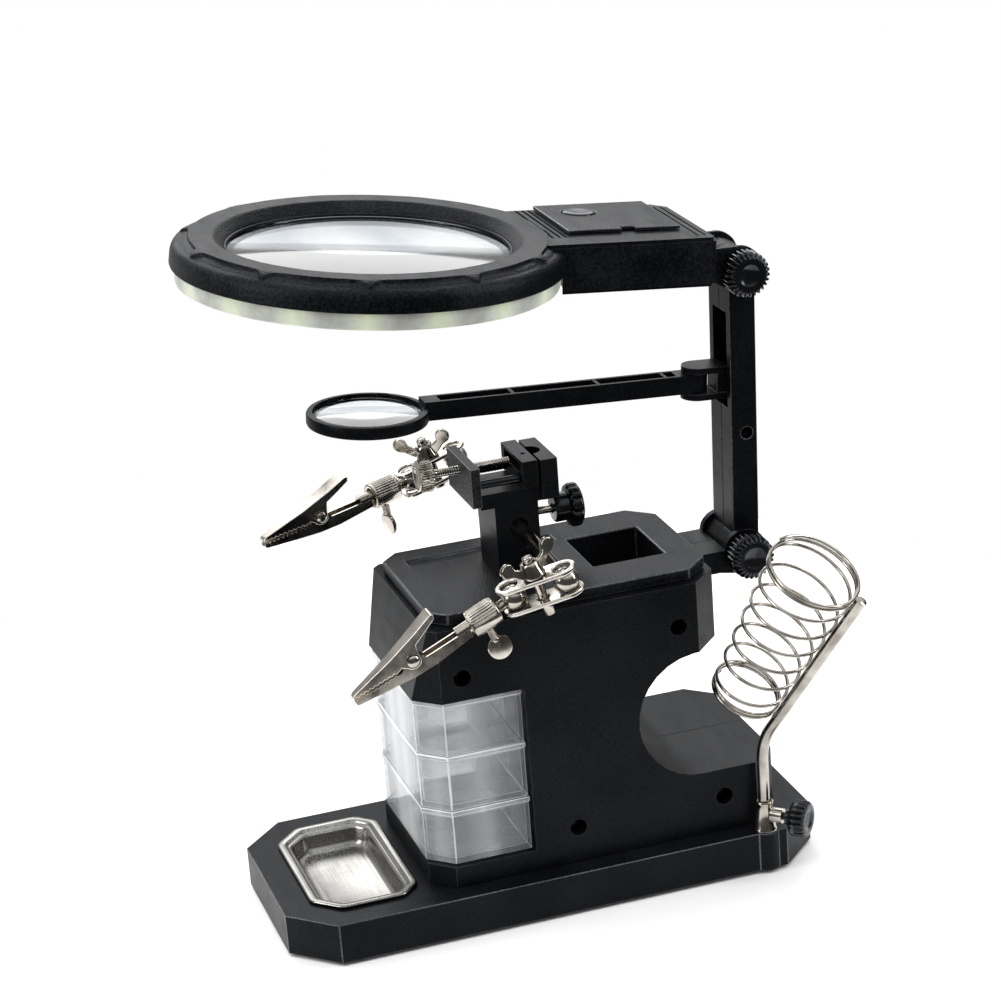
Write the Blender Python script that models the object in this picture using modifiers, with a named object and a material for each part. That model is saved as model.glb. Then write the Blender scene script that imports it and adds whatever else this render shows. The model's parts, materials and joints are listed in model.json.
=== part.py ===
"""Helping hands soldering station with a magnifier lamp.

Frame: origin at the centre of the base's underside, +X along the base towards
the iron holder, -Y towards the user, +Z up.  Dimensions below are millimetres;
MM turns them into Blender's metres.
"""

import math

import bmesh
import bpy
from mathutils import Matrix, Vector

MM = 0.001
GAP = 0.3
OBJECT_NAME = "helping_hands_station"

# Base and tray
BASE_HALF_X, BASE_HALF_Y, BASE_CHAMFER, BASE_TOP = 95.0, 42.0, 14.8, 14.2
BASE_WALL = 2.6
PAD_HEIGHT = 1.2
BOSS_AT, BOSS_R = (73.4, -39.0), 4.7
TRAY_X0, TRAY_X1, TRAY_HALF_Y, TRAY_DEPTH = -85.0, -48.0, 32.0, 9.0

# Housing, lid and drawers
HOUSING_HALF_Y, HOUSING_WALL, HOUSING_CHAMFER = 34.15, 3.0, 9.4
HOUSING_TOP, HOUSING_RIGHT, SADDLE_RIGHT, SADDLE_TOP = 107.6, 63.8, 82.3, 37.5
DECK_BOTTOM, BAY_RIGHT, PLINTH_TOP = 81.9, -7.9, 21.9
BAY_LEFT = -44.3
CUT_CENTRE, CUT_R = (54.0, 59.9), 22.5
SCREW_SPOTS = ((-28.9, 89.9), (47.5, 92.9), (7.6, 27.1), (60.9, 27.2))
LID_TOP, LID_HALF_Y = 112.0, 31.0
POCKET_X0, POCKET_X1, POCKET_HALF_Y, POCKET_FLOOR = 25.6, 51.3, 14.0, 99.0
DRAWER_HALF_Y, DRAWER_CHAMFER, DRAWER_WALL = 32.5, 8.4, 1.5
DRAWER_LEVELS = (22.2, 41.9, 62.0, 81.6)

# Mast and its two hinges
HINGE_LOW = (81.5, 0.0, 106.0)
MAST_LEAN, MAST_LENGTH = 1.575, 100.0
MAST_FACE_X, MAST_BACK_X, MAST_HALF_Y, BARREL_R = -3.1, 6.2, 9.1, 6.5
EAR_R, EAR_IN, EAR_OUT = 8.0, 9.5, 11.8
BOLT_R, KNOB_R, KNOB_LENGTH = 2.0, 7.8, 8.6

# Magnifier head, in its own frame at the upper hinge
HEAD_TILT = 6.0
RING_X, RING_TOP = -124.7, 15.1
LENS_R = 46.4
BOX_X1, BOX_HALF_Y, BOX_BOTTOM, BOX_TOP = -13.4, 25.5, -1.6, 14.8

# Small lens arm, in its own frame at the vertical pin
KNUCKLE_PIN = (82.6, 0.0, 165.2)
ARM_PIN = (71.1, 0.0, 166.0)
ARM_TILT, ARM_REACH = 4.0, 115.4
ARM_HALF_Y, ARM_HALF_Z = 3.85, 3.2
SMALL_RING_R, SMALL_LENS_R = 19.6, 17.8

# Vise
POST_X0, POST_X1, POST_HALF_Y = -6.2, 9.0, 10.0
BED_BOTTOM, BED_TOP, JAW_TOP = 137.4, 142.6, 152.3
JAW_HALF_Y, VISE_SCREW_Z = 11.5, 149.5

# Cross rod, clamps and clips
ROD_CENTRE, ROD_SLOPE, ROD_HALF, ROD_R = (1.9, 2.5, 129.35), 2.07, 59.0, 2.5
BALL_R, BALL_SPACING = 4.3, 17.9
PLATE_HALF_GAP, PLATE_THICK, PLATE_HALF_WIDTH = 3.4, 1.4, 4.7
SOCKET_START, SOCKET_END, SOCKET_R = 6.4, 16.8, 4.75
CLIP_LENGTH = 43.5
PIVOT_S, PIVOT_T = 21.0, 1.9

# Iron holder
SLEEVE_TOP = 25.0
HOLDER_ROD_R, HOLDER_BEND_Z = 2.0, 47.6
HOLDER_AZIMUTH, HOLDER_ELEVATION, HOLDER_LENGTH = -58.8, 54.7, 75.4
COIL_FROM, COIL_TO, COIL_R0, COIL_R1, COIL_TURNS = 9.6, 70.0, 11.6, 15.8, 10
COIL_WIRE_R = 0.62


# ------------------------------------------------------------------ helpers

def clear_scene():
    """Start from an empty file."""
    for obj in list(bpy.data.objects):
        bpy.data.objects.remove(obj, do_unlink=True)


def new_collection(name):
    """Make a collection linked to the scene."""
    made = bpy.data.collections.new(name)
    bpy.context.scene.collection.children.link(made)
    return made


clear_scene()
PARTS = new_collection(OBJECT_NAME)
CUTTERS = new_collection("cutters")


def material(name, colour, roughness, metallic=0.0, alpha=1.0):
    """A Principled material."""
    made = bpy.data.materials.new(name)
    made.use_nodes = True
    shader = made.node_tree.nodes["Principled BSDF"]
    shader.inputs["Base Color"].default_value = (*colour, 1.0)
    shader.inputs["Roughness"].default_value = roughness
    shader.inputs["Metallic"].default_value = metallic
    shader.inputs["Alpha"].default_value = alpha
    return made


def frame_at(name, origin, x_axis=None, z_axis=None, parent=None):
    """An empty at origin (mm) whose local X and Z point along the given axes."""
    empty = bpy.data.objects.new(name, None)
    turn = Matrix.Identity(4)
    if x_axis is not None:
        x = Vector(x_axis).normalized()
        z = (Vector(z_axis) - x * x.dot(Vector(z_axis))).normalized()
        turn = Matrix((x, z.cross(x), z)).transposed().to_4x4()
    empty.matrix_basis = Matrix.Translation(Vector(origin) * MM) @ turn
    empty.parent = parent
    PARTS.objects.link(empty)
    return empty


def tilted_frame(name, origin, degrees, parent=None):
    """An empty at origin (mm) turned about Y."""
    angle = math.radians(degrees)
    x_axis = (math.cos(angle), 0.0, -math.sin(angle))
    z_axis = (math.sin(angle), 0.0, math.cos(angle))
    return frame_at(name, origin, x_axis, z_axis, parent)


def place(name, mesh, finish=None, origin=(0, 0, 0), frame=None, smooth=False):
    """Turn a mesh drawn in a frame's millimetres into a part, or a cutter when
    it has no finish."""
    mesh.transform(Matrix.Scale(MM, 4) @ Matrix.Translation(-Vector(origin)))
    obj = bpy.data.objects.new(name, mesh)
    obj.location = Vector(origin) * MM
    obj.parent = frame
    if finish is None:
        CUTTERS.objects.link(obj)
        obj.hide_render = True
        obj.display_type = "WIRE"
    else:
        PARTS.objects.link(obj)
        mesh.materials.append(finish)
    if smooth:
        mesh.shade_smooth()
        mesh.set_sharp_from_angle(angle=math.radians(40))
    return obj


def along(start, end):
    """Matrix that puts local Z from start to end, centred between them."""
    start, end = Vector(start), Vector(end)
    turn = (end - start).to_track_quat("Z", "Y").to_matrix().to_4x4()
    return Matrix.Translation((start + end) / 2) @ turn


def box(name, low, high, finish=None, **where):
    """A box between two corners."""
    bm = bmesh.new()
    bmesh.ops.create_cube(bm, size=1.0)
    size = [b - a for a, b in zip(low, high)]
    middle = [(a + b) / 2 for a, b in zip(low, high)]
    bmesh.ops.scale(bm, vec=size, verts=bm.verts)
    bmesh.ops.translate(bm, vec=middle, verts=bm.verts)
    mesh = bpy.data.meshes.new(name)
    bm.to_mesh(mesh)
    bm.free()
    return place(name, mesh, finish, **where)


def cylinder(name, start, end, radius, finish=None, tip=None, sides=16, **where):
    """A cylinder, or a cone when tip gives the end radius."""
    bm = bmesh.new()
    length = (Vector(end) - Vector(start)).length
    bmesh.ops.create_cone(
        bm, cap_ends=True, segments=sides, radius1=radius,
        radius2=radius if tip is None else tip, depth=length,
        matrix=along(start, end),
    )
    mesh = bpy.data.meshes.new(name)
    bm.to_mesh(mesh)
    bm.free()
    return place(name, mesh, finish, smooth=True, **where)


def curve_mesh(name, curve):
    """The welded mesh of a curve."""
    source = bpy.data.objects.new(name, curve)
    bpy.context.scene.collection.objects.link(source)
    bpy.context.view_layer.update()
    seen = source.evaluated_get(bpy.context.evaluated_depsgraph_get())
    mesh = bpy.data.meshes.new_from_object(seen)
    bpy.data.objects.remove(source)
    bm = bmesh.new()
    bm.from_mesh(mesh)
    bmesh.ops.remove_doubles(bm, verts=bm.verts, dist=0.002)
    bmesh.ops.recalc_face_normals(bm, faces=bm.faces)
    bm.to_mesh(mesh)
    bm.free()
    return mesh


AXIS_TURN = {
    "X": Matrix(((0, 0, 1, 0), (1, 0, 0, 0), (0, 1, 0, 0), (0, 0, 0, 1))),
    "Y": Matrix(((1, 0, 0, 0), (0, 0, -1, 0), (0, 1, 0, 0), (0, 0, 0, 1))),
    "Z": Matrix.Identity(4),
}


def plate(name, outline, low, high, axis, finish=None, **where):
    """A flat outline with thickness from low to high along an axis.  The
    outline's two numbers are (x, y) along Z, (x, z) along Y, (y, z) along X."""
    curve = bpy.data.curves.new(name, "CURVE")
    curve.dimensions = "2D"
    curve.fill_mode = "BOTH"
    curve.extrude = (high - low) / 2
    spline = curve.splines.new("POLY")
    spline.points.add(len(outline) - 1)
    for point, (u, v) in zip(spline.points, outline):
        point.co = (u, v, 0.0, 1.0)
    spline.use_cyclic_u = True
    mesh = curve_mesh(name, curve)
    middle = (low + high) / 2
    shift = {"X": (middle, 0, 0), "Y": (0, middle, 0), "Z": (0, 0, middle)}[axis]
    mesh.transform(Matrix.Translation(shift) @ AXIS_TURN[axis])
    return place(name, mesh, finish, **where)


def wire(name, points, radius, finish=None, **where):
    """A round wire through points, with closed ends."""
    curve = bpy.data.curves.new(name, "CURVE")
    curve.dimensions = "3D"
    curve.bevel_depth = radius
    curve.bevel_resolution = 2
    curve.use_fill_caps = True
    spline = curve.splines.new("POLY")
    spline.points.add(len(points) - 1)
    for point, position in zip(spline.points, points):
        point.co = (*position, 1.0)
    return place(name, curve_mesh(name, curve), finish, smooth=True, **where)


def turned(name, profile, base, direction, finish=None, steps=24, frame=None):
    """A turned piece: profile of (radius, height) running down the outer side,
    turned about the direction from base.  A ring's profile ends where it began."""
    bm = bmesh.new()
    closed = profile[0] == profile[-1]
    points = profile[:-1] if closed else profile
    corners = [bm.verts.new((r * MM, 0.0, h * MM)) for r, h in points]
    for first, second in zip(corners, corners[1:]):
        bm.edges.new((first, second))
    if closed:
        bm.edges.new((corners[-1], corners[0]))
    mesh = bpy.data.meshes.new(name)
    bm.to_mesh(mesh)
    bm.free()
    if finish is not None:
        mesh.materials.append(finish)
    obj = bpy.data.objects.new(name, mesh)
    screw = obj.modifiers.new("turn", "SCREW")
    screw.steps = steps
    screw.render_steps = steps
    screw.use_merge_vertices = True
    screw.merge_threshold = 0.00001
    screw.use_smooth_shade = True
    turn = Vector(direction).to_track_quat("Z", "Y").to_matrix().to_4x4()
    obj.matrix_basis = Matrix.Translation(Vector(base) * MM) @ turn
    obj.parent = frame
    if finish is None:
        CUTTERS.objects.link(obj)
        obj.hide_render = True
        obj.display_type = "WIRE"
    else:
        PARTS.objects.link(obj)
    return obj


def combine(obj, operation, tools):
    """Add exact Boolean modifiers to obj, one for each tool."""
    for tool in tools:
        step = obj.modifiers.new(operation.lower(), "BOOLEAN")
        step.operation = operation
        step.solver = "EXACT"
        step.object = tool


def carve(obj, *tools):
    """Cut the tools out of obj."""
    combine(obj, "DIFFERENCE", tools)


def fuse(obj, *tools):
    """Join the tools to obj."""
    combine(obj, "UNION", tools)


def keep(obj, *tools):
    """Keep what obj shares with the tools."""
    combine(obj, "INTERSECT", tools)


def arc(centre, radius, start, end, count):
    """Points on an arc, in degrees from start to end."""
    steps = [start + (end - start) * i / count for i in range(count + 1)]
    return [
        (centre[0] + radius * math.cos(math.radians(a)),
         centre[1] + radius * math.sin(math.radians(a)))
        for a in steps
    ]


def chamfered(x0, x1, half, left, right):
    """A rectangle with its corners cut, seen from above."""
    return [
        (x0 + left, -half), (x1 - right, -half), (x1, -half + right),
        (x1, half - right), (x1 - right, half), (x0 + left, half),
        (x0, half - left), (x0, -half + left),
    ]


def inset(points, distance):
    """Move every side of a counter-clockwise outline inwards."""
    count = len(points)
    moved = []
    for i in range(count):
        before, here, after = (Vector(points[(i + k) % count]) for k in (-1, 0, 1))
        first = (here - before).normalized()
        second = (after - here).normalized()
        n1, n2 = Vector((-first.y, first.x)), Vector((-second.y, second.x))
        moved.append(tuple(here + (n1 + n2) * (distance / (1.0 + n1.dot(n2)))))
    return moved


# ---------------------------------------------------------------- materials

BLACK = material("black_abs", (0.016, 0.017, 0.020), 0.42)
BLACK_KNOB = material("black_knob", (0.011, 0.011, 0.013), 0.35)
NICKEL = material("nickel_plate", (0.68, 0.63, 0.55), 0.18, 1.0)
TRAY_STEEL = material("stainless_tray", (0.72, 0.71, 0.69), 0.22, 1.0)
SCREW_STEEL = material("black_screw", (0.05, 0.05, 0.05), 0.40, 1.0)
CLEAR = material("clear_drawer", (0.86, 0.88, 0.89), 0.05, 0.0, 0.30)
GLASS = material("lens_glass", (0.93, 0.95, 0.96), 0.02, 0.0, 0.25)
DIFFUSER = material("white_diffuser", (0.90, 0.92, 0.88), 0.35)


# --------------------------------------------------------------- base, tray

def make_base():
    """Base shell open underneath, with the iron holder's boss, and its plate."""
    outline = chamfered(-BASE_HALF_X, BASE_HALF_X, BASE_HALF_Y, BASE_CHAMFER, BASE_CHAMFER)
    shell = plate("base_shell", outline, 0.0, BASE_TOP, "Z", BLACK)
    hollow = plate("base_hollow", inset(outline, BASE_WALL), -1.0, BASE_TOP - BASE_WALL, "Z")
    boss = cylinder("holder_boss", (*BOSS_AT, 0.0), (*BOSS_AT, BASE_TOP), BOSS_R)
    tray_hole = plate(
        "tray_hole", chamfered(TRAY_X0 + 2.9, TRAY_X1 - 2.9, TRAY_HALF_Y - 2.9, 8, 5.4),
        5.0, BASE_TOP + 1, "Z",
    )
    carve(shell, hollow)
    fuse(shell, boss)
    carve(shell, tray_hole)

    bottom = plate("base_bottom_plate", inset(outline, BASE_WALL + GAP), 0.0, 2.0, "Z", BLACK)
    notch = cylinder("boss_notch", (*BOSS_AT, -1.0), (*BOSS_AT, 3.0), BOSS_R + GAP)
    carve(bottom, notch)
    for sx in (-1, 1):
        for sy in (-1, 1):
            spot = (sx * (BASE_HALF_X - 12), sy * (BASE_HALF_Y - 15))
            pad = cylinder("pad", (*spot, -PAD_HEIGHT), (*spot, 0.5), 5.0)
            fuse(bottom, pad)


def make_tray():
    """Pressed steel solder tray that drops into the base."""
    rest = BASE_TOP + GAP
    rim = plate(
        "solder_tray", chamfered(TRAY_X0, TRAY_X1, TRAY_HALF_Y, 9, 6.4),
        rest, rest + 1.0, "Z", TRAY_STEEL, origin=(-66.5, 0, rest),
    )
    pan = chamfered(TRAY_X0 + 3.3, TRAY_X1 - 3.3, TRAY_HALF_Y - 3.3, 7.8, 5.2)
    body = plate("tray_pan", pan, rest + 0.5 - TRAY_DEPTH, rest + 0.5, "Z")
    well = plate("tray_well", inset(pan, 0.8), rest + 1.3 - TRAY_DEPTH, rest + 2, "Z")
    fuse(rim, body)
    carve(rim, well)


# ------------------------------------------------------------------ housing

def housing_profile():
    """Side outline of the housing with its drawer bay and round cut."""
    return (
        [(-44.0, BASE_TOP + GAP), (HOUSING_RIGHT, BASE_TOP + GAP), (HOUSING_RIGHT, SADDLE_TOP - 0.1)]
        + arc(CUT_CENTRE, CUT_R, 270, 95, 14)
        + [(HOUSING_RIGHT, 83.0), (HOUSING_RIGHT, HOUSING_TOP), (-39.1, HOUSING_TOP)]
        + [(-44.75, DECK_BOTTOM), (BAY_RIGHT, DECK_BOTTOM), (BAY_RIGHT, PLINTH_TOP), (-44.0, PLINTH_TOP)]
    )


def make_housing_half(name, side):
    """One half shell; side is -1 at the user and 1 at the back."""
    profile = housing_profile()
    half = plate(name, profile, -HOUSING_HALF_Y, HOUSING_HALF_Y, "Y", BLACK)
    plan = plate(
        "plan", chamfered(-44.9, HOUSING_RIGHT, HOUSING_HALF_Y, 8.4, HOUSING_CHAMFER),
        10, 120, "Z",
    )
    saddle_plan = chamfered(40, SADDLE_RIGHT, HOUSING_HALF_Y, 2, HOUSING_CHAMFER)
    saddle = plate("saddle", saddle_plan, BASE_TOP + GAP, SADDLE_TOP, "Z")
    keep(half, plan)
    fuse(half, saddle)

    wall = HOUSING_WALL
    core = plate(
        "core", inset(profile, wall), -HOUSING_HALF_Y + wall, HOUSING_HALF_Y - wall, "Y",
    )
    core_plan = plate(
        "core_plan", chamfered(-41.9, HOUSING_RIGHT - wall, HOUSING_HALF_Y - wall, 8, 9),
        10, 120, "Z",
    )
    keep(core, core_plan)
    saddle_core = plate(
        "saddle_core", inset(saddle_plan, wall), BASE_TOP + GAP + wall, SADDLE_TOP - wall, "Z",
    )
    mouth = plate("mouth", chamfered(-34.0, 58.6, 29.4, 5, 7), 100, 115, "Z")
    carve(half, core, saddle_core, mouth)

    outer = side * EAR_OUT
    tab = box("tab", (60.0, min(0, outer), 99.7), (74.4, max(0, outer), HOUSING_TOP))
    ear_outline = (
        [(72.0, 99.7)] + arc((HINGE_LOW[0], HINGE_LOW[2]), EAR_R, -95, 150, 18)
        + [(74.0, HOUSING_TOP)]
    )
    ear_y = sorted((side * EAR_IN, side * EAR_OUT))
    ear = plate("ear", ear_outline, ear_y[0], ear_y[1], "Y")
    ear_bore = cylinder(
        "ear_bore", (HINGE_LOW[0], -20, HINGE_LOW[2]), (HINGE_LOW[0], 20, HINGE_LOW[2]), BOLT_R + 0.3,
    )
    fuse(half, tab, ear)
    carve(half, ear_bore)

    if side < 0:
        for x, z in SCREW_SPOTS:
            face = -HOUSING_HALF_Y
            fuse(half, cylinder("boss", (x, face + 0.5, z), (x, -20, z), 4.8))
            carve(half, cylinder("recess", (x, face - 1, z), (x, -27, z), 3.1))
            carve(half, cylinder("clear", (x, -28, z), (x, -19, z), 1.6))
    low, high = sorted((side * 0.15, side * 60.0))
    keep(half, box("half_space", (-80, low, 0), (120, high, 140)))


def make_housing_screws():
    """Screws deep in the front shell's recesses."""
    for i, (x, z) in enumerate(SCREW_SPOTS):
        name = f"housing_screw_{i + 1}"
        profile = [(0, 0), (2.7, 0), (2.7, -1.6), (1.3, -1.9), (1.3, -12.0), (0, -13.0)]
        turned(name, profile, (x, -29.2, z), (0, -1, 0), SCREW_STEEL, steps=12)


def make_lid():
    """Top lid with a small open compartment."""
    outline = chamfered(-37.3, 62.1, LID_HALF_Y, 6.0, 8.6)
    lid = plate("top_lid", outline, HOUSING_TOP + GAP, LID_TOP, "Z", BLACK)
    tub = box(
        "tub", (POCKET_X0 - 1.6, -POCKET_HALF_Y - 1.6, POCKET_FLOOR - 1.6),
        (POCKET_X1 + 1.6, POCKET_HALF_Y + 1.6, LID_TOP - 1),
    )
    pocket = box(
        "pocket", (POCKET_X0, -POCKET_HALF_Y, POCKET_FLOOR),
        (POCKET_X1, POCKET_HALF_Y, LID_TOP + 2),
    )
    groove = box("groove", (-30.0, 15.5, LID_TOP - 1.0), (22.0, 22.0, LID_TOP + 1))
    fuse(lid, tub)
    carve(lid, pocket, groove)


def make_drawers():
    """Three clear bins stacked in the bay."""
    names = ("drawer_bottom", "drawer_middle", "drawer_top")
    outline = [
        (BAY_LEFT + DRAWER_CHAMFER, -DRAWER_HALF_Y), (BAY_RIGHT - 0.5, -DRAWER_HALF_Y),
        (BAY_RIGHT - 0.5, DRAWER_HALF_Y), (BAY_LEFT + DRAWER_CHAMFER, DRAWER_HALF_Y),
        (BAY_LEFT, DRAWER_HALF_Y - DRAWER_CHAMFER), (BAY_LEFT, -DRAWER_HALF_Y + DRAWER_CHAMFER),
    ]
    for name, low, high in zip(names, DRAWER_LEVELS, DRAWER_LEVELS[1:]):
        bin_body = plate(
            name, inset(outline, 0.4), low, high - GAP, "Z", CLEAR, origin=(BAY_LEFT, 0, low),
        )
        lip = plate("lip", outline, high - GAP - 1.6, high - GAP, "Z")
        well = plate("well", inset(outline, DRAWER_WALL), low + DRAWER_WALL, high + 1, "Z")
        fuse(bin_body, lip)
        carve(bin_body, well)


# --------------------------------------------------------------------- vise

def make_vise():
    """Post, bed and fixed jaw in one moulding, with the parts that ride on it."""
    body = box(
        "vise_body", (POST_X0, -POST_HALF_Y, LID_TOP + GAP),
        (POST_X1, POST_HALF_Y, BED_BOTTOM + 1), BLACK,
    )
    bed = box("bed", (-10.9, -POST_HALF_Y, BED_BOTTOM), (16.0, POST_HALF_Y, BED_TOP))
    jaw = box("jaw_block", (10.4, -JAW_HALF_Y, BED_BOTTOM + 0.5), (16.2, JAW_HALF_Y, JAW_TOP - 0.4))
    vee = cylinder("vee", (10.0, 0, 143.5), (10.0, 0, 160), 4.0)
    bore = cylinder(
        "rod_bore", (ROD_CENTRE[0], -20, ROD_CENTRE[2]), (ROD_CENTRE[0], 20, ROD_CENTRE[2]),
        ROD_R + 0.9,
    )
    lock = cylinder("lock_bore", (3.0, 0, 129.9), (20.0, 0, 129.9), 1.9)
    fuse(body, bed, jaw)
    carve(body, vee, bore, lock)
    for y in (-7.5, 7.5):
        carve(body, cylinder("guide_bore", (-12, y, 145.6), (14.0, y, 145.6), 1.9))

    end_plate = box("vise_end_plate", (-14.6, -13.5, 139.7), (-11.3, 13.5, 153.4), BLACK)
    carve(end_plate, cylinder("screw_bore", (-20, 0, VISE_SCREW_Z), (0, 0, VISE_SCREW_Z), 1.9))

    slider = box(
        "vise_moving_jaw", (4.0, -JAW_HALF_Y, BED_TOP + GAP), (9.2, JAW_HALF_Y, JAW_TOP),
        BLACK, origin=(4.0, 0, BED_TOP + GAP),
    )
    hollow = box("jaw_hollow", (3.0, -8.5, 147.8), (6.6, 8.5, 151.2))
    pinhole = cylinder("jaw_pinhole", (7.0, -3, 150.8), (7.0, -3, 154.0), 0.9, sides=12)
    carve(slider, hollow, pinhole)
    for number, y in ((1, -7.5), (2, 7.5)):
        carve(slider, cylinder("slide_bore", (0, y, 145.6), (12, y, 145.6), 1.9))
        carve(end_plate, cylinder("seat", (-13.0, y, 145.6), (-9, y, 145.6), 1.9))
        cylinder(f"vise_guide_rod_{number}", (-12.7, y, 145.6), (13.7, y, 145.6), 1.6, BLACK)

    profile = [(0, 11.0)] + [(3.9, 11.0), (5.5, 10.2), (5.5, 6.4), (3.9, 5.6), (1.5, 5.6)]
    profile += [(1.5, -21.6), (0, -21.6)]
    turned("vise_screw", profile, (-18.5, 0, VISE_SCREW_Z), (-1, 0, 0), NICKEL, steps=20)


def make_rod_lock():
    """Black knob and steel screw that press on the cross rod."""
    z = 129.9
    cylinder("rod_lock_screw", (4.8, 0, z), (20.0, 0, z), 1.5, NICKEL, sides=12,
             origin=(20.0, 0, z))
    profile = [(0, 9.6), (6.0, 9.6), (7.5, 8.6), (7.5, 6.2), (6.6, 5.2), (5.0, 5.0)]
    profile += [(5.0, 0.6), (4.4, 0.0), (1.8, 0.0), (1.8, 3.4), (0, 3.4)]
    turned("rod_lock_knob", profile, (16.9, 0, z), (1, 0, 0), BLACK_KNOB, steps=24)


# --------------------------------------------------------- rod, clamps, clips

def rod_direction():
    """Direction of the cross rod, from the user's end to the back."""
    slope = math.radians(ROD_SLOPE)
    return Vector((0.0, math.cos(slope), math.sin(slope)))


def ball_profile(neck):
    """Half outline of a ball from its pole to where a neck leaves it."""
    end = math.pi - math.asin(neck / BALL_R)
    angles = [math.pi / 2 - end * i / 6 for i in range(1, 7)]
    points = [(BALL_R * math.cos(a), BALL_R * math.sin(a)) for a in angles]
    return [(0.0, BALL_R)] + points


def make_cross_rod():
    """Polished rod with a ball on each end."""
    profile = [(r, ROD_HALF + z) for r, z in ball_profile(ROD_R)]
    profile += [(r, -z) for r, z in reversed(profile)]
    turned("cross_rod", profile, ROD_CENTRE, rod_direction(), NICKEL, steps=16)


def oblong(half_length, radius, count=6):
    """An oblong with round ends."""
    return (
        arc((half_length, 0), radius, -90, 90, count)
        + arc((-half_length, 0), radius, 90, 270, count)
    )


def make_clamp(side, ball_at, x_axis, z_axis, wing_turn, tip_r, tip_length):
    """Ball clamp: two drilled plates, a screw and a wing nut."""
    frame = frame_at(f"clamp_{side}_frame", ball_at, x_axis, z_axis)
    middle = BALL_SPACING / 2
    outline = [(x + middle, y) for x, y in oblong(middle, PLATE_HALF_WIDTH)]
    inner, outer = PLATE_HALF_GAP, PLATE_HALF_GAP + PLATE_THICK
    for label, low, high in (("upper", inner, outer), ("lower", -outer, -inner)):
        jaw = plate(f"clamp_{side}_{label}_plate", outline, low, high, "Z", NICKEL, frame=frame)
        for x, radius in ((0.0, 3.1), (middle, 2.1), (BALL_SPACING, 3.1)):
            carve(jaw, cylinder("hole", (x, 0, low - 1), (x, 0, high + 1), radius, sides=12,
                                frame=frame))

    top = outer + 7.6
    profile = [(0, top), (1.3, top), (1.7, top - 0.5), (1.7, -outer - GAP)]
    profile += [(tip_r, -outer - GAP), (tip_r, -outer - tip_length + 0.6)]
    profile += [(tip_r - 0.6, -outer - tip_length), (0, -outer - tip_length)]
    turned(f"clamp_{side}_screw", profile, (middle, 0, 0), (0, 0, 1), NICKEL, 12, frame)

    base = outer + GAP
    nut = cylinder(
        f"clamp_{side}_wing_nut", (middle, 0, base), (middle, 0, base + 5.2), 4.0, NICKEL,
        tip=3.0, sides=20, origin=(middle, 0, base), frame=frame,
    )
    turn = Matrix.Rotation(math.radians(wing_turn), 4, "Z")
    for sign in (-1, 1):
        wing_outline = [(1.8, 0.8), (4.2, 0.8), (7.0, 3.2)]
        wing_outline += arc((8.3, 6.6), 2.6, -35, 150, 7) + [(2.6, 5.0)]
        wing = plate(
            "wing", [(sign * x, z) for x, z in wing_outline][::sign], -0.8, 0.8, "Y", frame=frame,
        )
        shift = Matrix.Translation(Vector((middle, 0, base)) * MM)
        wing.data.transform(shift @ turn)
        fuse(nut, wing)
    carve(nut, cylinder("nut_bore", (middle, 0, base - 1), (middle, 0, base + 12), 2.0, frame=frame))
    return frame


def make_clip_holder(side, ball_at, x_axis, z_axis, spade_turn):
    """Ball and socket that hold the clip, with its thumbscrew."""
    frame = frame_at(f"clip_{side}_frame", ball_at, x_axis, z_axis)
    neck = 1.9
    profile = [(0, SOCKET_END - 8.0), (3.2, SOCKET_END - 8.0), (3.2, SOCKET_END)]
    profile += [(4.2, SOCKET_END), (SOCKET_R, SOCKET_END - 0.6), (SOCKET_R, SOCKET_START + 0.6)]
    profile += [(4.2, SOCKET_START), (neck, SOCKET_START)]
    profile += [(r, -z) for r, z in reversed(ball_profile(neck))]
    holder = turned(f"clip_{side}_holder", profile, (0, 0, 0), (1, 0, 0), NICKEL, 16, frame)
    s = SOCKET_START + 5.5
    carve(holder, cylinder("thread", (s, 0, -8), (s, 0, -2), 1.7, sides=16, frame=frame))
    shank = [(0, -2.85), (1.35, -2.85), (1.35, -9.0), (0, -9.0)]
    spade = turned(
        f"clip_{side}_thumbscrew", shank, (s, 0, 0), (0, 0, 1), NICKEL, 16, frame,
    )
    turn = Matrix.Rotation(math.radians(spade_turn), 3, "Z")
    reach = turn @ Vector((0, 0.8, 0))
    centre = Vector((s, 0, -12.4))
    disc = cylinder("spade", centre - reach, centre + reach, 4.2, sides=20, frame=frame)
    fuse(spade, disc)
    return frame


def jaw_outline(upper):
    """Side outline of a clip jaw, with teeth along the mating edge."""
    teeth = []
    count, start, pitch, depth = 6, 27.5, 2.8, 0.75
    for i in range(count):
        s = start + i * pitch
        teeth += [(s, 0.0), (s + pitch / 2, depth)]
    if upper:
        line = [(x, z + 0.35) for x, z in teeth] + [(CLIP_LENGTH, 0.35)]
        outer = [(CLIP_LENGTH, 1.6), (38.0, 3.4), (27.0, 5.4), (21.5, 5.6), (17.0, 7.6), (9.6, 12.0)]
        return [(9.2, 9.6), (17.0, 4.4), (20.0, 0.35)] + line + outer
    line = [(x, z - 0.35) for x, z in teeth] + [(CLIP_LENGTH, -0.35)]
    return (
        [(0.2, -3.4), (16.0, -4.6), (27.0, -3.8), (CLIP_LENGTH, -1.6)] + line[::-1]
        + [(25.0, 0.6), (23.6, 3.4), (20.0, 3.4), (17.5, 0.4), (0.2, -0.6)]
    )


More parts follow.
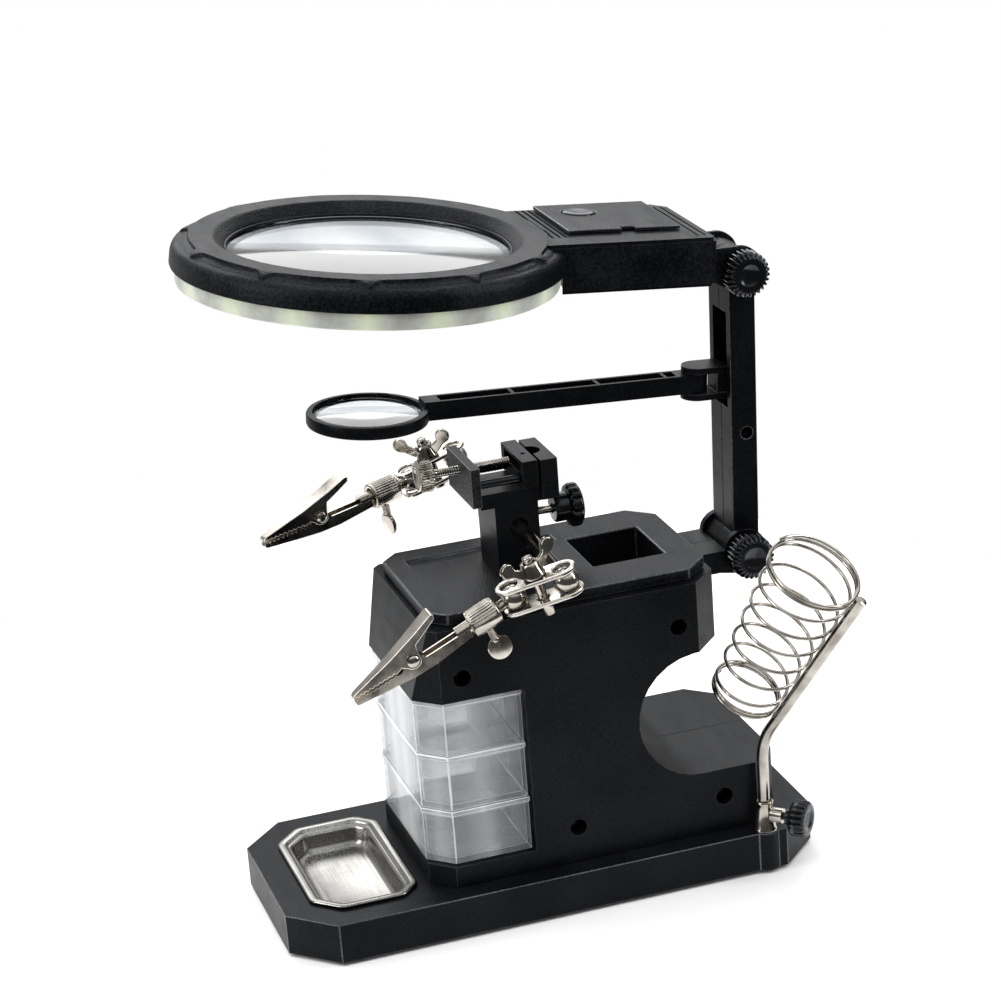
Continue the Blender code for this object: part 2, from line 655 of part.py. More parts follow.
def make_clip(side, frame):
    """Alligator clip: two sprung jaws on a rivet."""
    start = SOCKET_END - 7.4
    base = SOCKET_END + 0.6
    for label, half, wall in (("upper", 3.2, 0.7), ("lower", 2.3, 0.7)):
        upper = label == "upper"
        outline = [(base + s, z) for s, z in jaw_outline(upper)]
        pivot = (base + PIVOT_S, 0, PIVOT_T)
        jaw = plate(
            f"clip_{side}_{label}_jaw", outline, -half, half, "Y", NICKEL,
            origin=pivot if upper else (0, 0, 0), frame=frame,
        )
        tip = base + CLIP_LENGTH + 1
        wedge = plate(
            "taper", [(base - 2, -half - 1), (base + 14, -half - 1), (tip, -1.4), (tip, 1.4),
                      (base + 14, half + 1), (base - 2, half + 1)], -20, 20, "Z", frame=frame,
        )
        keep(jaw, wedge)
        lift = 1.0 if upper else -1.0
        channel = plate(
            "channel",
            [(base + s, z - lift * 0.9) for s, z in (
                ([(8.0, 8.4), (17.0, 3.0), (20.0, -4.0), (44.0, -4.0), (44.0, 1.4), (38.0, 3.2),
                  (27.0, 5.2), (21.5, 5.4), (17.0, 7.2), (8.0, 12.6)])
                if upper else
                [(-1.0, -3.4), (16.0, -4.6), (27.0, -3.8), (44.0, -1.9), (44.0, 4.0), (-1.0, 4.0)]
            )],
            -half + wall, half - wall, "Y", frame=frame,
        )
        narrow = plate(
            "channel_taper",
            [(base - 3, -half - 0.4), (base + 14, -half - 0.4), (tip, -0.6), (tip, 0.6),
             (base + 14, half + 0.4), (base - 3, half + 0.4)], -20, 20, "Z", frame=frame,
        )
        keep(channel, narrow)
        carve(jaw, channel)
        hole = cylinder(
            "rivet_hole", (pivot[0], -9, pivot[2]), (pivot[0], 9, pivot[2]), 1.35, sides=16, frame=frame,
        )
        carve(jaw, hole)
        if not upper:
            stem = cylinder("stem", (start, 0, 0), (base + 4.5, 0, 0), 2.5, sides=16, frame=frame)
            fuse(jaw, stem)
    reach = 3.2 + GAP
    rivet = [(0, reach + 0.7), (1.7, reach + 0.5), (2.0, reach), (1.1, reach)]
    rivet += [(r, -z) for r, z in reversed(rivet)]
    turned(
        f"clip_{side}_rivet", rivet, (base + PIVOT_S, 0, PIVOT_T), (0, 1, 0), NICKEL, 16, frame,
    )


def make_clamps():
    """Both clamps and clips, at the two ends of the cross rod."""
    centre, direction = Vector(ROD_CENTRE), rod_direction()
    settings = (
        ("front", -1, (-0.897, 0.331, -0.293), (-0.310, 0.0, 0.950), 36, 1.9, 5.2,
         (-0.907, 0.0, -0.405), 0),
        ("rear", 1, (-0.9507, 0.0, -0.3102), (-0.3102, 0.0, 0.9507), -34, 3.2, 2.2,
         (-0.955, -0.24, -0.130), 90),
    )
    for side, end, x_axis, z_axis, wings, tip_r, tip_length, reach, spade in settings:
        first = centre + direction * (end * ROD_HALF)
        make_clamp(side, first, x_axis, z_axis, wings, tip_r, tip_length)
        second = first + Vector(x_axis).normalized() * BALL_SPACING
        frame = make_clip_holder(side, second, reach, (0, 0, 1), spade)
        make_clip(side, frame)


# --------------------------------------------------------------------- mast

def fluted(name, start, direction, frame=None):
    """Black fluted knob with a blind bore for its bolt."""
    profile = [(0, KNOB_LENGTH), (KNOB_R - 1.8, KNOB_LENGTH), (KNOB_R, KNOB_LENGTH - 1.0)]
    profile += [(KNOB_R, 1.4), (KNOB_R - 1.2, 0.0), (BOLT_R + GAP, 0.0), (BOLT_R + GAP, 5.3), (0, 5.3)]
    return turned(name, profile, start, direction, BLACK_KNOB, 24, frame)


def make_hinge(level, frame):
    """Bolt and knob along Y through a hinge, about its frame's zero."""
    profile = [(0, 15.2), (3.0, 15.2), (3.6, 14.6), (3.6, EAR_OUT + GAP), (BOLT_R, EAR_OUT + GAP)]
    profile += [(BOLT_R, -EAR_OUT - GAP - 4.8), (0, -EAR_OUT - GAP - 4.8)]
    turned(f"hinge_bolt_{level}", profile, (0, 0, 0), (0, 1, 0), SCREW_STEEL, 12, frame)
    fluted(f"hinge_knob_{level}", (0, -EAR_OUT - GAP, 0), (0, -1, 0), frame)


def to_mast(point):
    """A point's x and z in the mast's leaning frame."""
    lean = math.radians(MAST_LEAN)
    x, z = point[0] - HINGE_LOW[0], point[2] - HINGE_LOW[2]
    return x * math.cos(lean) - z * math.sin(lean), x * math.sin(lean) + z * math.cos(lean)


def make_mast():
    """Two half mouldings with a barrel at each end and a slot for the lens arm."""
    frame = tilted_frame("mast_frame", HINGE_LOW, MAST_LEAN)
    face = math.degrees(math.acos(MAST_FACE_X / BARREL_R))
    back = math.degrees(math.acos(MAST_BACK_X / BARREL_R))
    outline = (
        arc((0, 0), BARREL_R, face, 360 + back, 10)
        + arc((0, MAST_LENGTH), BARREL_R, -back, 360 - face, 10)
    )
    for name, side in (("mast_front_half", -1), ("mast_rear_half", 1)):
        low, high = sorted((side * 0.15, side * MAST_HALF_Y))
        half = plate(name, outline, low, high, "Y", BLACK, frame=frame)
        carve(half, box("arm_slot", (-10, -5.9, 50.5), (4.2, 5.9, 84.0), frame=frame))
        for z in (0, MAST_LENGTH):
            carve(half, cylinder("bolt_bore", (0, -20, z), (0, 20, z), BOLT_R + 0.3, frame=frame))
        x, z = to_mast(KNUCKLE_PIN)
        carve(half, cylinder("knuckle_bore", (x, -8.0, z), (x, 8.0, z), 1.5, sides=12, frame=frame))
        if side < 0:
            seat = cylinder("screw_seat", (2.5, -20, 41.7), (2.5, -5.0, 41.7), 2.2, frame=frame)
            carve(half, seat)
    make_hinge("lower", frame)
    return frame


# --------------------------------------------------------------- small lens

def make_lens_knuckle():
    """Fork between the mast slot and the lens arm, with its cross pin."""
    tilt = tilted_frame("knuckle_frame", ARM_PIN, ARM_TILT)
    pin = Vector(KNUCKLE_PIN) - Vector(ARM_PIN)
    body = box("lens_knuckle", (6.0, -4.4, -4.2), (14.4, 4.4, 4.2), BLACK, frame=tilt)
    for low, high in ((3.5, 5.7), (-5.7, -3.5)):
        fork = [(9.5, -5.0), (9.5, 5.0)] + arc((0, 0), 5.2, 90, 270, 12)
        fuse(body, plate("fork", fork, low, high, "Z", frame=tilt))
    fuse(body, cylinder("fork_pin", (0, 0, -5.0), (0, 0, 5.0), 1.5, sides=16, frame=tilt))
    bore_at = pin.x, pin.z + math.tan(math.radians(ARM_TILT)) * pin.x
    carve(body, cylinder("pin_bore", (bore_at[0], -9, bore_at[1]), (bore_at[0], 9, bore_at[1]), 1.5,
                         sides=16, frame=tilt))
    cylinder(
        "knuckle_pin", (bore_at[0], -7.6, bore_at[1]), (bore_at[0], 7.6, bore_at[1]), 1.2,
        NICKEL, sides=16, origin=(bore_at[0], 0, bore_at[1]), frame=tilt,
    )
    return tilt


def make_lens_arm(tilt):
    """Channel arm and ring of the small lens, and the lens in it."""
    ring_at = -ARM_REACH
    arm = box(
        "lens_arm", (ring_at + SMALL_RING_R - 1, -ARM_HALF_Y, -ARM_HALF_Z),
        (-0.5, ARM_HALF_Y, ARM_HALF_Z), BLACK, frame=tilt,
    )
    eye = cylinder("eye", (0, 0, -ARM_HALF_Z), (0, 0, ARM_HALF_Z), ARM_HALF_Y, frame=tilt)
    fuse(arm, eye)
    channel_end = ring_at + SMALL_RING_R + 4
    ribs = (channel_end, -66.0, -36.0, -12.0)
    for left, right in zip(ribs, (-66.0, -36.0, -12.0, -7.5)):
        carve(arm, box("channel", (left + 0.6, -2.7, 1.0), (right - 0.6, 2.7, 6.0), frame=tilt))
    low, high = -3.3, 1.6
    ring = cylinder(
        "ring", (ring_at, 0, low), (ring_at, 0, high), SMALL_RING_R + 0.6, sides=36, frame=tilt,
    )
    fuse(arm, ring)
    carve(
        arm,
        cylinder("seat", (ring_at, 0, low + 1.0), (ring_at, 0, high + 3), SMALL_LENS_R + 0.3,
                 sides=36, frame=tilt),
        cylinder("lip", (ring_at, 0, low - 1), (ring_at, 0, high), SMALL_LENS_R - 1.2,
                 sides=36, frame=tilt),
        cylinder("pin_hole", (0, 0, -9), (0, 0, 9), 1.75, sides=16, frame=tilt),
    )
    profile = lens_profile(SMALL_LENS_R, 1.6, 1.1)
    turned("small_lens", profile, (ring_at, 0, low + 1.3), (0, 0, 1), GLASS, 28, tilt)


def lens_profile(radius, edge, crown):
    """A double convex lens: edge thickness and the rise of each face."""
    shares = [i / 3 for i in range(4)]
    top = [(radius * s, edge + crown * (1 - s * s)) for s in shares]
    bottom = [(radius * s, -0.5 * crown * (1 - s * s)) for s in reversed(shares)]
    return top + bottom


# --------------------------------------------------------------------- head

def make_head(mast):
    """Magnifier head: case, lens, retaining ring, light ring, cover, button."""
    top = MAST_LENGTH
    lean = math.radians(MAST_LEAN)
    at = Vector(HINGE_LOW) + Vector((math.sin(lean), 0, math.cos(lean))) * top
    head = tilted_frame("head_frame", at, HEAD_TILT)
    make_hinge("upper", head)
    ring_profile = [
        (49.8, RING_TOP), (57.5, RING_TOP + 0.3), (61.2, RING_TOP - 1.0), (63.4, RING_TOP - 4.0),
        (64.0, RING_TOP - 9.4), (51.9, RING_TOP - 9.4), (51.9, RING_TOP - 4.4),
        (45.4, RING_TOP - 4.4), (45.4, RING_TOP - 3.6), (49.8, RING_TOP),
    ]
    case = turned("head_case", ring_profile, (RING_X, 0, 0), (0, 0, 1), BLACK, 48, head)
    grip_box = plate(
        "grip_box",
        [(-80, -BOX_HALF_Y), (BOX_X1 - 2, -BOX_HALF_Y), (BOX_X1, -BOX_HALF_Y + 2),
         (BOX_X1, BOX_HALF_Y - 5), (BOX_X1 - 5, BOX_HALF_Y), (-80, BOX_HALF_Y)],
        BOX_BOTTOM, BOX_TOP, "Z", frame=head,
    )
    under = RING_TOP - 9.2
    carve(
        grip_box,
        cylinder("ring_clear", (RING_X, 0, -10), (RING_X, 0, 30), 57.0, sides=48, frame=head),
        cylinder("light_clear", (RING_X, 0, -10), (RING_X, 0, under), 62.9, sides=48, frame=head),
    )
    fuse(case, grip_box)
    carve(case, box("battery_bay", (-56, -10, 1.0), (-26, 22, 20), frame=head))
    for side in (-1, 1):
        low, high = sorted((side * EAR_IN, side * EAR_OUT))
        outline = arc((0, 0), EAR_R, -100, 100, 16) + [(BOX_X1 - 1, 7.0), (BOX_X1 - 1, -1.0)]
        fuse(case, plate("ear", outline, low, high, "Y", frame=head))
    carve(case, cylinder("bolt_bore", (0, -20, 0), (0, 20, 0), BOLT_R + 0.3, frame=head))

    cover = plate(
        "battery_cover",
        [(-61, -12), (-42.5, -12), (-42.5, -9.5), (-37.5, -9.5), (-37.5, -12), (-22, -12),
         (-22, 24), (-61, 24)],
        BOX_TOP + GAP, BOX_TOP + 1.5, "Z", BLACK, origin=(-61, 0, BOX_TOP + GAP), frame=head,
    )
    carve(cover, cylinder("button_hole", (-48.9, 12.3, 0), (-48.9, 12.3, 20), 6.0, frame=head))
    profile = [(0, 1.9), (4.6, 1.9), (5.6, 1.4), (5.6, -3.0), (0, -3.0)]
    turned("power_button", profile, (-48.9, 12.3, BOX_TOP), (0, 0, 1), BLACK_KNOB, 20, head)

    lens_z = RING_TOP - 4.7 - 2.6
    turned("main_lens", lens_profile(LENS_R, 2.6, 2.2), (RING_X, 0, lens_z), (0, 0, 1), GLASS, 40, head)
    retainer = [(50.9, lens_z + 1.5), (50.9, -1.0 + 4.6), (45.0, 3.6), (45.0, lens_z - GAP)]
    retainer += [(46.9, lens_z - GAP), (46.9, lens_z + 1.5), (50.9, lens_z + 1.5)]
    turned("lens_retainer", retainer, (RING_X, 0, 0), (0, 0, 1), BLACK, 40, head)
    light = [(62.2, 5.4), (62.2, 0.4), (61.0, -0.8), (52.4, -0.8), (52.4, 5.4), (62.2, 5.4)]
    turned("led_diffuser", light, (RING_X, 0, 0), (0, 0, 1), DIFFUSER, 40, head)


# -------------------------------------------------------------- iron holder

def holder_axes():
    """Direction of the sloping rod and the direction the coil leans from it."""
    azimuth, rise = math.radians(HOLDER_AZIMUTH), math.radians(HOLDER_ELEVATION)
    flat = Vector((math.cos(azimuth), math.sin(azimuth), 0))
    reach = flat * math.cos(rise) + Vector((0, 0, math.sin(rise)))
    lean = Vector((0, 0, math.cos(rise))) - flat * math.sin(rise)
    return reach, lean


def make_holder_sleeve():
    """Tapered sleeve on the boss, with its side knob."""
    x, y = BOSS_AT
    low = BASE_TOP + GAP
    profile = [(2.3, SLEEVE_TOP), (3.1, SLEEVE_TOP), (3.1, SLEEVE_TOP - 1.0), (2.8, SLEEVE_TOP - 1.4)]
    profile += [(3.9, low + 0.8), (4.3, low), (2.3, low), (2.3, SLEEVE_TOP)]
    sleeve = turned("holder_sleeve", profile, (x, y, 0), (0, 0, 1), NICKEL, 24)
    out = Vector((math.cos(math.radians(-45)), math.sin(math.radians(-45)), 0))
    hub = Vector((x, y, 20.0))
    fuse(sleeve, cylinder("lug", hub + out * 2.7, hub + out * 6.8, 2.6, sides=16))
    carve(
        sleeve, cylinder("lug_bore", hub, hub + out * 12, 1.5, sides=16),
        cylinder("rod_way", (x, y, low - 1), (x, y, SLEEVE_TOP + 1), 2.3),
    )
    profile = [(0, 16.4), (5.0, 16.4), (6.4, 15.6), (6.4, 11.0), (5.4, 10.2), (2.6, 10.0)]
    profile += [(2.6, 8.0), (1.2, 8.0), (1.2, 2.4), (0, 2.4)]
    turned("holder_knob", profile, hub, out, BLACK_KNOB, 28)


def make_holder_rod():
    """Bent rod that stands in the sleeve."""
    x, y = BOSS_AT
    reach, _ = holder_axes()
    corner = Vector((x, y, HOLDER_BEND_Z))
    fillet = 7.0
    points = [Vector((x, y, BASE_TOP + GAP + 0.4)), Vector((x, y, 30.0))]
    for i in range(7):
        t = i / 6
        down, up = corner - Vector((0, 0, fillet)), corner + reach * fillet
        points.append(down * (1 - t) ** 2 + corner * 2 * t * (1 - t) + up * t * t)
    points += [corner + reach * 40.0, corner + reach * HOLDER_LENGTH]
    wire("holder_rod", points, HOLDER_ROD_R, NICKEL, origin=(x, y, 30.0))


def make_holder_coil():
    """Conical coil that the iron rests in, close wound at both ends."""
    reach, lean = holder_axes()
    side = reach.cross(lean)
    corner = Vector((*BOSS_AT, HOLDER_BEND_Z))
    clear = HOLDER_ROD_R + COIL_WIRE_R + GAP
    low = corner + reach * COIL_FROM + lean * (COIL_R0 + clear)
    high = corner + reach * COIL_TO + lean * (COIL_R1 + clear)
    axis = (high - low).normalized()
    across = axis.cross(side)
    per_turn = 12
    points = []
    total = COIL_TURNS * per_turn
    for i in range(total + 1):
        t = i / total
        turns_in = t * COIL_TURNS
        close = 0.026
        free = 1.0 - 4 * close
        if turns_in < 2:
            share = turns_in * close
        elif turns_in > COIL_TURNS - 2:
            share = 1.0 - (COIL_TURNS - turns_in) * close
        else:
            share = 2 * close + (turns_in - 2) / (COIL_TURNS - 4) * free
        angle = 2 * math.pi * turns_in
        radius = COIL_R0 + (COIL_R1 - COIL_R0) * share
        radial = across * -math.cos(angle) + side * math.sin(angle)
        points.append(low + (high - low) * share + radial * radius)
    wire("holder_coil", points, COIL_WIRE_R, NICKEL, origin=low)


make_base()
make_tray()
make_housing_half("housing_front", -1)
make_housing_half("housing_rear", 1)
make_housing_screws()
make_lid()
make_drawers()
make_vise()
make_rod_lock()
make_cross_rod()
make_clamps()
MAST = make_mast()
make_lens_arm(make_lens_knuckle())
make_head(MAST)
make_holder_sleeve()
make_holder_rod()
make_holder_coil()
bpy.context.view_layer.update()
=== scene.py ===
import json
import math

import bmesh
import bpy
from mathutils import Matrix, Vector


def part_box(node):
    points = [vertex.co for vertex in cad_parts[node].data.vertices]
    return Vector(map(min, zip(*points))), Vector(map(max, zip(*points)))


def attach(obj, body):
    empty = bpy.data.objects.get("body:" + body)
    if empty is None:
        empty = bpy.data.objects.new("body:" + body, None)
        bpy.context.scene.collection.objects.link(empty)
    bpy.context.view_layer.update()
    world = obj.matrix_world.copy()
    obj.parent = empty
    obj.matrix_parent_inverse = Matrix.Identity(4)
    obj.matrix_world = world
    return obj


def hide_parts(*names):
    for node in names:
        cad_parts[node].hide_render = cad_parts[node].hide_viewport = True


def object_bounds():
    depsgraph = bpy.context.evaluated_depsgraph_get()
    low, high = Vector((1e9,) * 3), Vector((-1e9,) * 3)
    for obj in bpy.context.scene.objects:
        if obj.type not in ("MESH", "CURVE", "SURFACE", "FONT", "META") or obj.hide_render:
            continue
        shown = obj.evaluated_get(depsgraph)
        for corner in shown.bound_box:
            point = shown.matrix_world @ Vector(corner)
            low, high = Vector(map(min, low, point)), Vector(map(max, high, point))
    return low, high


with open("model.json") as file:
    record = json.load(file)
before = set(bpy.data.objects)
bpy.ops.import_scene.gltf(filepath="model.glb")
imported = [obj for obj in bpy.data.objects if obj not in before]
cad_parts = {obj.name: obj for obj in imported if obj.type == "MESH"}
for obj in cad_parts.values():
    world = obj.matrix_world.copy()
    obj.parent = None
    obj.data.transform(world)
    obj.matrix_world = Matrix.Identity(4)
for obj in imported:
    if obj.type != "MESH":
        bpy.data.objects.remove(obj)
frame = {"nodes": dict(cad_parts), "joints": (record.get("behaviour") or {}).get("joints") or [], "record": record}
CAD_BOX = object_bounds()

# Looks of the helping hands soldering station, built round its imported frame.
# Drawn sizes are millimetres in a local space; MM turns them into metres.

MM = 0.001
NODES = frame["nodes"]
JOINTS = {joint["name"]: joint for joint in frame["joints"]}
BEHAVIOUR = frame["record"]["behaviour"]
BODY_OF = {node: body for body, nodes in BEHAVIOUR["bodies"].items() for node in nodes}
SIDES = ("front", "rear")
DRAWER_LEVELS = ("bottom", "middle", "top")
CUT, JOIN, KEEP = "DIFFERENCE", "UNION", "INTERSECT"

# Magnifier ring, in the head's space
RING_X, RING_TOP = -124.7, 15.1
RING_NOTCHES, FIRST_NOTCH = 11, -105.3
BULLNOSE_IN, BULLNOSE_R, BULLNOSE_DROP = 57.0, 6.7, 6.3
RING_WALL_IN, RING_WALL_TOP = 62.9, 5.9
BOX_X0, BOX_X1, BOX_HALF_Y, BOX_BOTTOM, BOX_TOP = -80.0, -13.4, 25.5, -1.6, 14.8
BATTERY_BAY = ((-56.0, -10.0, 1.0), (-26.0, 22.0, 20.0))
NECK_GROOVES = ((-67.6, 0.9), (-65.2, 1.1), (-63.2, 0.8))
BACK_GROOVES, BACK_GROOVE_DEPTH = (-19.6, -17.2), 0.6
BUTTON = (-48.9, 12.3)
EAR_R, EAR_IN, EAR_OUT, BOLT_R = 8.0, 9.5, 11.8, 2.0
LENS_R, RETAINER_Z = 46.4, 7.8
DIODES = 17.0

# Small lens arm, in its own space
ARM_REACH, ARM_HALF_Y, ARM_HALF_Z = 115.4, 3.85, 3.2
SMALL_RING_R, SMALL_RING_LOW, SMALL_RING_HIGH, SMALL_LENS_R = 20.2, -2.7, 1.6, 17.8
ARM_RIBS = (-66.0, -36.0, -12.0, -7.5)

# Clamps and clips
BALL_R, BALL_SPACING, ROD_HALF, ROD_R = 4.3, 17.9, 59.0, 2.5
PLATE_IN, PLATE_OUT, PLATE_HALF_WIDTH = 3.4, 4.8, 4.7
SOCKET_START, SOCKET_END, SOCKET_R = 6.4, 16.8, 4.75
SOCKET_NECK_R, SOCKET_FLANGE_R = 1.9, 4.6
JAW_BASE, JAW_LENGTH, PIVOT_S, PIVOT_T = 17.4, 45.0, 38.4, 1.9
TOOTH_PITCH, TEETH = 1.75, 9

# Iron rest
BOSS_AT, SLEEVE_LOW, SLEEVE_TOP = (73.4, -39.0), 14.5, 25.0
BEND_Z, ROD_LENGTH, HOLDER_ROD_R = 47.6, 75.4, 2.0
REST_AZIMUTH, REST_ELEVATION = -58.8, 54.7
COIL_FROM, COIL_TO, COIL_R0, COIL_R1 = 9.6, 70.0, 11.6, 15.8
COIL_TURNS, COIL_END_TURNS, COIL_END_STEP = 10, 2, 0.026
COIL_WIRE_R, COIL_GAP = 0.62, 0.3

# Solder tray
TRAY_CUT_LEFT, TRAY_CUT_RIGHT, TRAY_SHEET = 9.0, 6.4, 0.5

# Drawers: the rolled lip is drawn denser than the walls, for its thicker plastic and as a painted highlight
LIP_HEIGHT, LIP_DENSITY_AND_HIGHLIGHT = 2.4, 0.30

# Studio, in metres, degrees and watts; the camera's lens and sensor in millimetres
FLOOR_R, FLOOR_Y = 0.3, 0.05
LIGHTS_AIM = (0.0, 0.0, 0.11)
WHITE, DIM_WORLD = (1.0, 1.0, 1.0, 1.0), 0.09
CAMERA_AT, CAMERA_TURN = (-0.2673, -0.8933, 0.4828), (-16.6, 20.41, -4.41)
CAMERA_LENS, CAMERA_SENSOR = 106.55, 36.0


# ------------------------------------------------------------------- spaces

def space(origin, x_axis, z_axis):
    """Local space at origin (metres) with its X and Z along the given directions."""
    x = Vector(x_axis).normalized()
    z = (Vector(z_axis) - x * x.dot(Vector(z_axis))).normalized()
    turn = Matrix((x, z.cross(x), z)).transposed().to_4x4()
    return Matrix.Translation(origin) @ turn


def upright(origin, z_axis):
    """Local space whose X lies in the world's XZ plane."""
    return space(origin, (z_axis[2], 0.0, -z_axis[0]), z_axis)


def pivot(joint):
    """A joint's place."""
    return Vector(JOINTS[joint]["pos_m"])


def direction(joint):
    """A joint's axis."""
    return Vector(JOINTS[joint]["axis"])


def along(start, end):
    """Matrix with its Z from start towards end, at start."""
    turn = (Vector(end) - Vector(start)).to_track_quat("Z", "Y").to_matrix().to_4x4()
    return Matrix.Translation(start) @ turn


def on_joint(joint):
    """Local space at a joint, its Z along the joint's axis."""
    return Matrix.Translation(pivot(joint)) @ along((0, 0, 0), direction(joint))


def box_mm(node):
    """Lowest and highest corner of a node, in millimetres."""
    return [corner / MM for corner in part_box(node)]


WORLD = Matrix.Identity(4)
HEAD = upright(pivot("head_tilt"), direction("cover_lift"))
MAST = upright(pivot("mast_tilt"), pivot("head_tilt") - pivot("mast_tilt"))
ARM = upright(pivot("lens_arm_swing"), direction("lens_arm_swing"))
CLAMP = {
    side: space(
        pivot(f"{side}_clamp_swivel"),
        pivot(f"{side}_clip_swivel") - pivot(f"{side}_clamp_swivel"),
        direction(f"{side}_clamp_swivel"),
    )
    for side in SIDES
}
CLIP = {
    side: space(
        pivot(f"{side}_clip_swivel"),
        pivot(f"{side}_spade_spin") - pivot(f"{side}_clip_swivel"),
        direction(f"{side}_spade_spin"),
    )
    for side in SIDES
}


# ------------------------------------------------------------------- meshes

def lathe(profile, steps=64, reshape=None, turn=None):
    """A turned body from (radius, height) points down its outer side.  A ring's
    profile ends where it began.  reshape(angle, radius, height) moves points."""
    closed = profile[0] == profile[-1]
    points = profile[:-1] if closed else profile
    body = bmesh.new()
    rings = []
    for radius, height in points:
        if radius < 1e-6:
            rings.append([body.verts.new((0, 0, height))] * steps)
            continue
        ring = []
        for k in range(steps):
            angle = 2 * math.pi * k / steps
            r, h = reshape(angle, radius, height) if reshape else (radius, height)
            ring.append(body.verts.new((r * math.cos(angle), r * math.sin(angle), h)))
        rings.append(ring)
    pairs = list(zip(rings, rings[1:])) + ([(rings[-1], rings[0])] if closed else [])
    for upper, lower in pairs:
        for k in range(steps):
            corners = [upper[k], upper[k - 1], lower[k - 1], lower[k]]
            body.faces.new(list(dict.fromkeys(corners)))
    bmesh.ops.recalc_face_normals(body, faces=body.faces)
    if turn is not None:
        bmesh.ops.transform(body, matrix=turn, verts=body.verts)
    return body


AXES = {
    "X": lambda u, v, w: (w, u, v),
    "Y": lambda u, v, w: (u, w, v),
    "Z": lambda u, v, w: (u, v, w),
}


def prism(outline, low, high, axis="Z"):
    """An outline with thickness along an axis."""
    body = bmesh.new()
    place = AXES[axis]
    bottom = [body.verts.new(place(u, v, low)) for u, v in outline]
    top = [body.verts.new(place(u, v, high)) for u, v in outline]
    body.faces.new(bottom)
    body.faces.new(top)
    for k in range(len(outline)):
        body.faces.new((bottom[k - 1], bottom[k], top[k], top[k - 1]))
    bmesh.ops.recalc_face_normals(body, faces=body.faces)
    return body


def block(low, high):
    """A box between two corners."""
    outline = [(low[0], low[1]), (high[0], low[1]), (high[0], high[1]), (low[0], high[1])]
    return prism(outline, low[2], high[2])


def rod(start, end, radius, sides=40, tip=None):
    """A cylinder or cone between two points."""
    length = (Vector(end) - Vector(start)).length
    profile = [(0, length), (radius if tip is None else tip, length), (radius, 0), (0, 0)]
    return lathe(profile, sides, turn=along(start, end))


def tube(points, radius, sides=14):
    """A round wire along points, with rounded ends."""
    body = bmesh.new()
    points = [Vector(p) for p in points]
    heading = (points[1] - points[0]).normalized()
    across = heading.orthogonal().normalized()
    rings = []
    for i, point in enumerate(points):
        before, after = points[max(i - 1, 0)], points[min(i + 1, len(points) - 1)]
        heading = (after - before).normalized()
        across = (across - heading * across.dot(heading)).normalized()
        up = heading.cross(across)
        angles = [2 * math.pi * k / sides for k in range(sides)]
        rings.append([
            body.verts.new(point + (across * math.cos(a) + up * math.sin(a)) * radius)
            for a in angles
        ])
    for first, second in zip(rings, rings[1:]):
        for k in range(sides):
            body.faces.new((first[k - 1], first[k], second[k], second[k - 1]))
    ends = ((rings[0], points[0] - points[1]), (rings[-1], points[-1] - points[-2]))
    for ring, out in ends:
        middle = sum((v.co for v in ring), Vector()) / sides
        tip = body.verts.new(middle + out.normalized() * radius * 0.5)
        for k in range(sides):
            body.faces.new((ring[k - 1], ring[k], tip))
    bmesh.ops.recalc_face_normals(body, faces=body.faces)
    return body


def arc(centre, radius, start, end, count):
    """Points on an arc, in degrees."""
    angles = [math.radians(start + (end - start) * i / count) for i in range(count + 1)]
    return [(centre[0] + radius * math.cos(a), centre[1] + radius * math.sin(a)) for a in angles]


def soften(body, sharper_than, width, segments):
    """Round a body's edges that turn by more than an angle, in radians."""
    edges = [edge for edge in body.edges if edge.calc_face_angle(0) > sharper_than]
    bmesh.ops.bevel(
        body, geom=edges, offset=width, segments=segments, affect="EDGES", clamp_overlap=True,
    )


def added(name, data):
    """A new object in the scene."""
    made = bpy.data.objects.new(name, data)
    bpy.context.scene.collection.objects.link(made)
    return made


def as_object(body, name="scratch"):
    """A new object with a body's shape."""
    mesh = bpy.data.meshes.new(name)
    body.to_mesh(mesh)
    body.free()
    return added(name, mesh)


def shaped(body, *steps):
    """The body after Boolean steps, each (operation, other body)."""
    base = as_object(body)
    tools = []
    for operation, other in steps:
        tool = as_object(other)
        step = base.modifiers.new("step", "BOOLEAN")
        step.operation = operation
        step.solver = "EXACT"
        step.object = tool
        tools.append(tool)
    bpy.context.view_layer.update()
    seen = base.evaluated_get(bpy.context.evaluated_depsgraph_get())
    result = bmesh.new()
    result.from_mesh(seen.to_mesh())
    for scratch in [base, *tools]:
        mesh = scratch.data
        bpy.data.objects.remove(scratch)
        bpy.data.meshes.remove(mesh)
    return result


def piece(name, body, place, finish, *replaced, bevel=0.0, smooth=38):
    """Turn a body drawn in millimetres into a piece of the visual model."""
    bmesh.ops.scale(body, vec=(MM, MM, MM), verts=body.verts)
    made = as_object(body, name)
    made.matrix_world = place
    return dress(made, finish, replaced, bevel, smooth)


def dress(made, finish, replaced, bevel, smooth):
    """Finish, edges, body and slot of a piece."""
    made.data.materials.clear()
    made.data.materials.append(finish)
    # The second slot is the bevels' finish, lighter than the faces: a painted highlight along the edges, on the
    # black plastics also wear.
    made.data.materials.append(EDGES.get(finish, finish))
    made.data.shade_smooth()
    made.data.set_sharp_from_angle(angle=math.radians(smooth))
    if bevel:
        edge = made.modifiers.new("edges", "BEVEL")
        edge.width = bevel * MM
        edge.segments = 3
        edge.limit_method = "ANGLE"
        edge.angle_limit = math.radians(smooth)
        edge.use_clamp_overlap = True
        edge.material = 1
        made.modifiers.new("normals", "WEIGHTED_NORMAL").keep_sharp = True
    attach(made, BODY_OF[replaced[0]])
    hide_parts(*replaced)
    return made


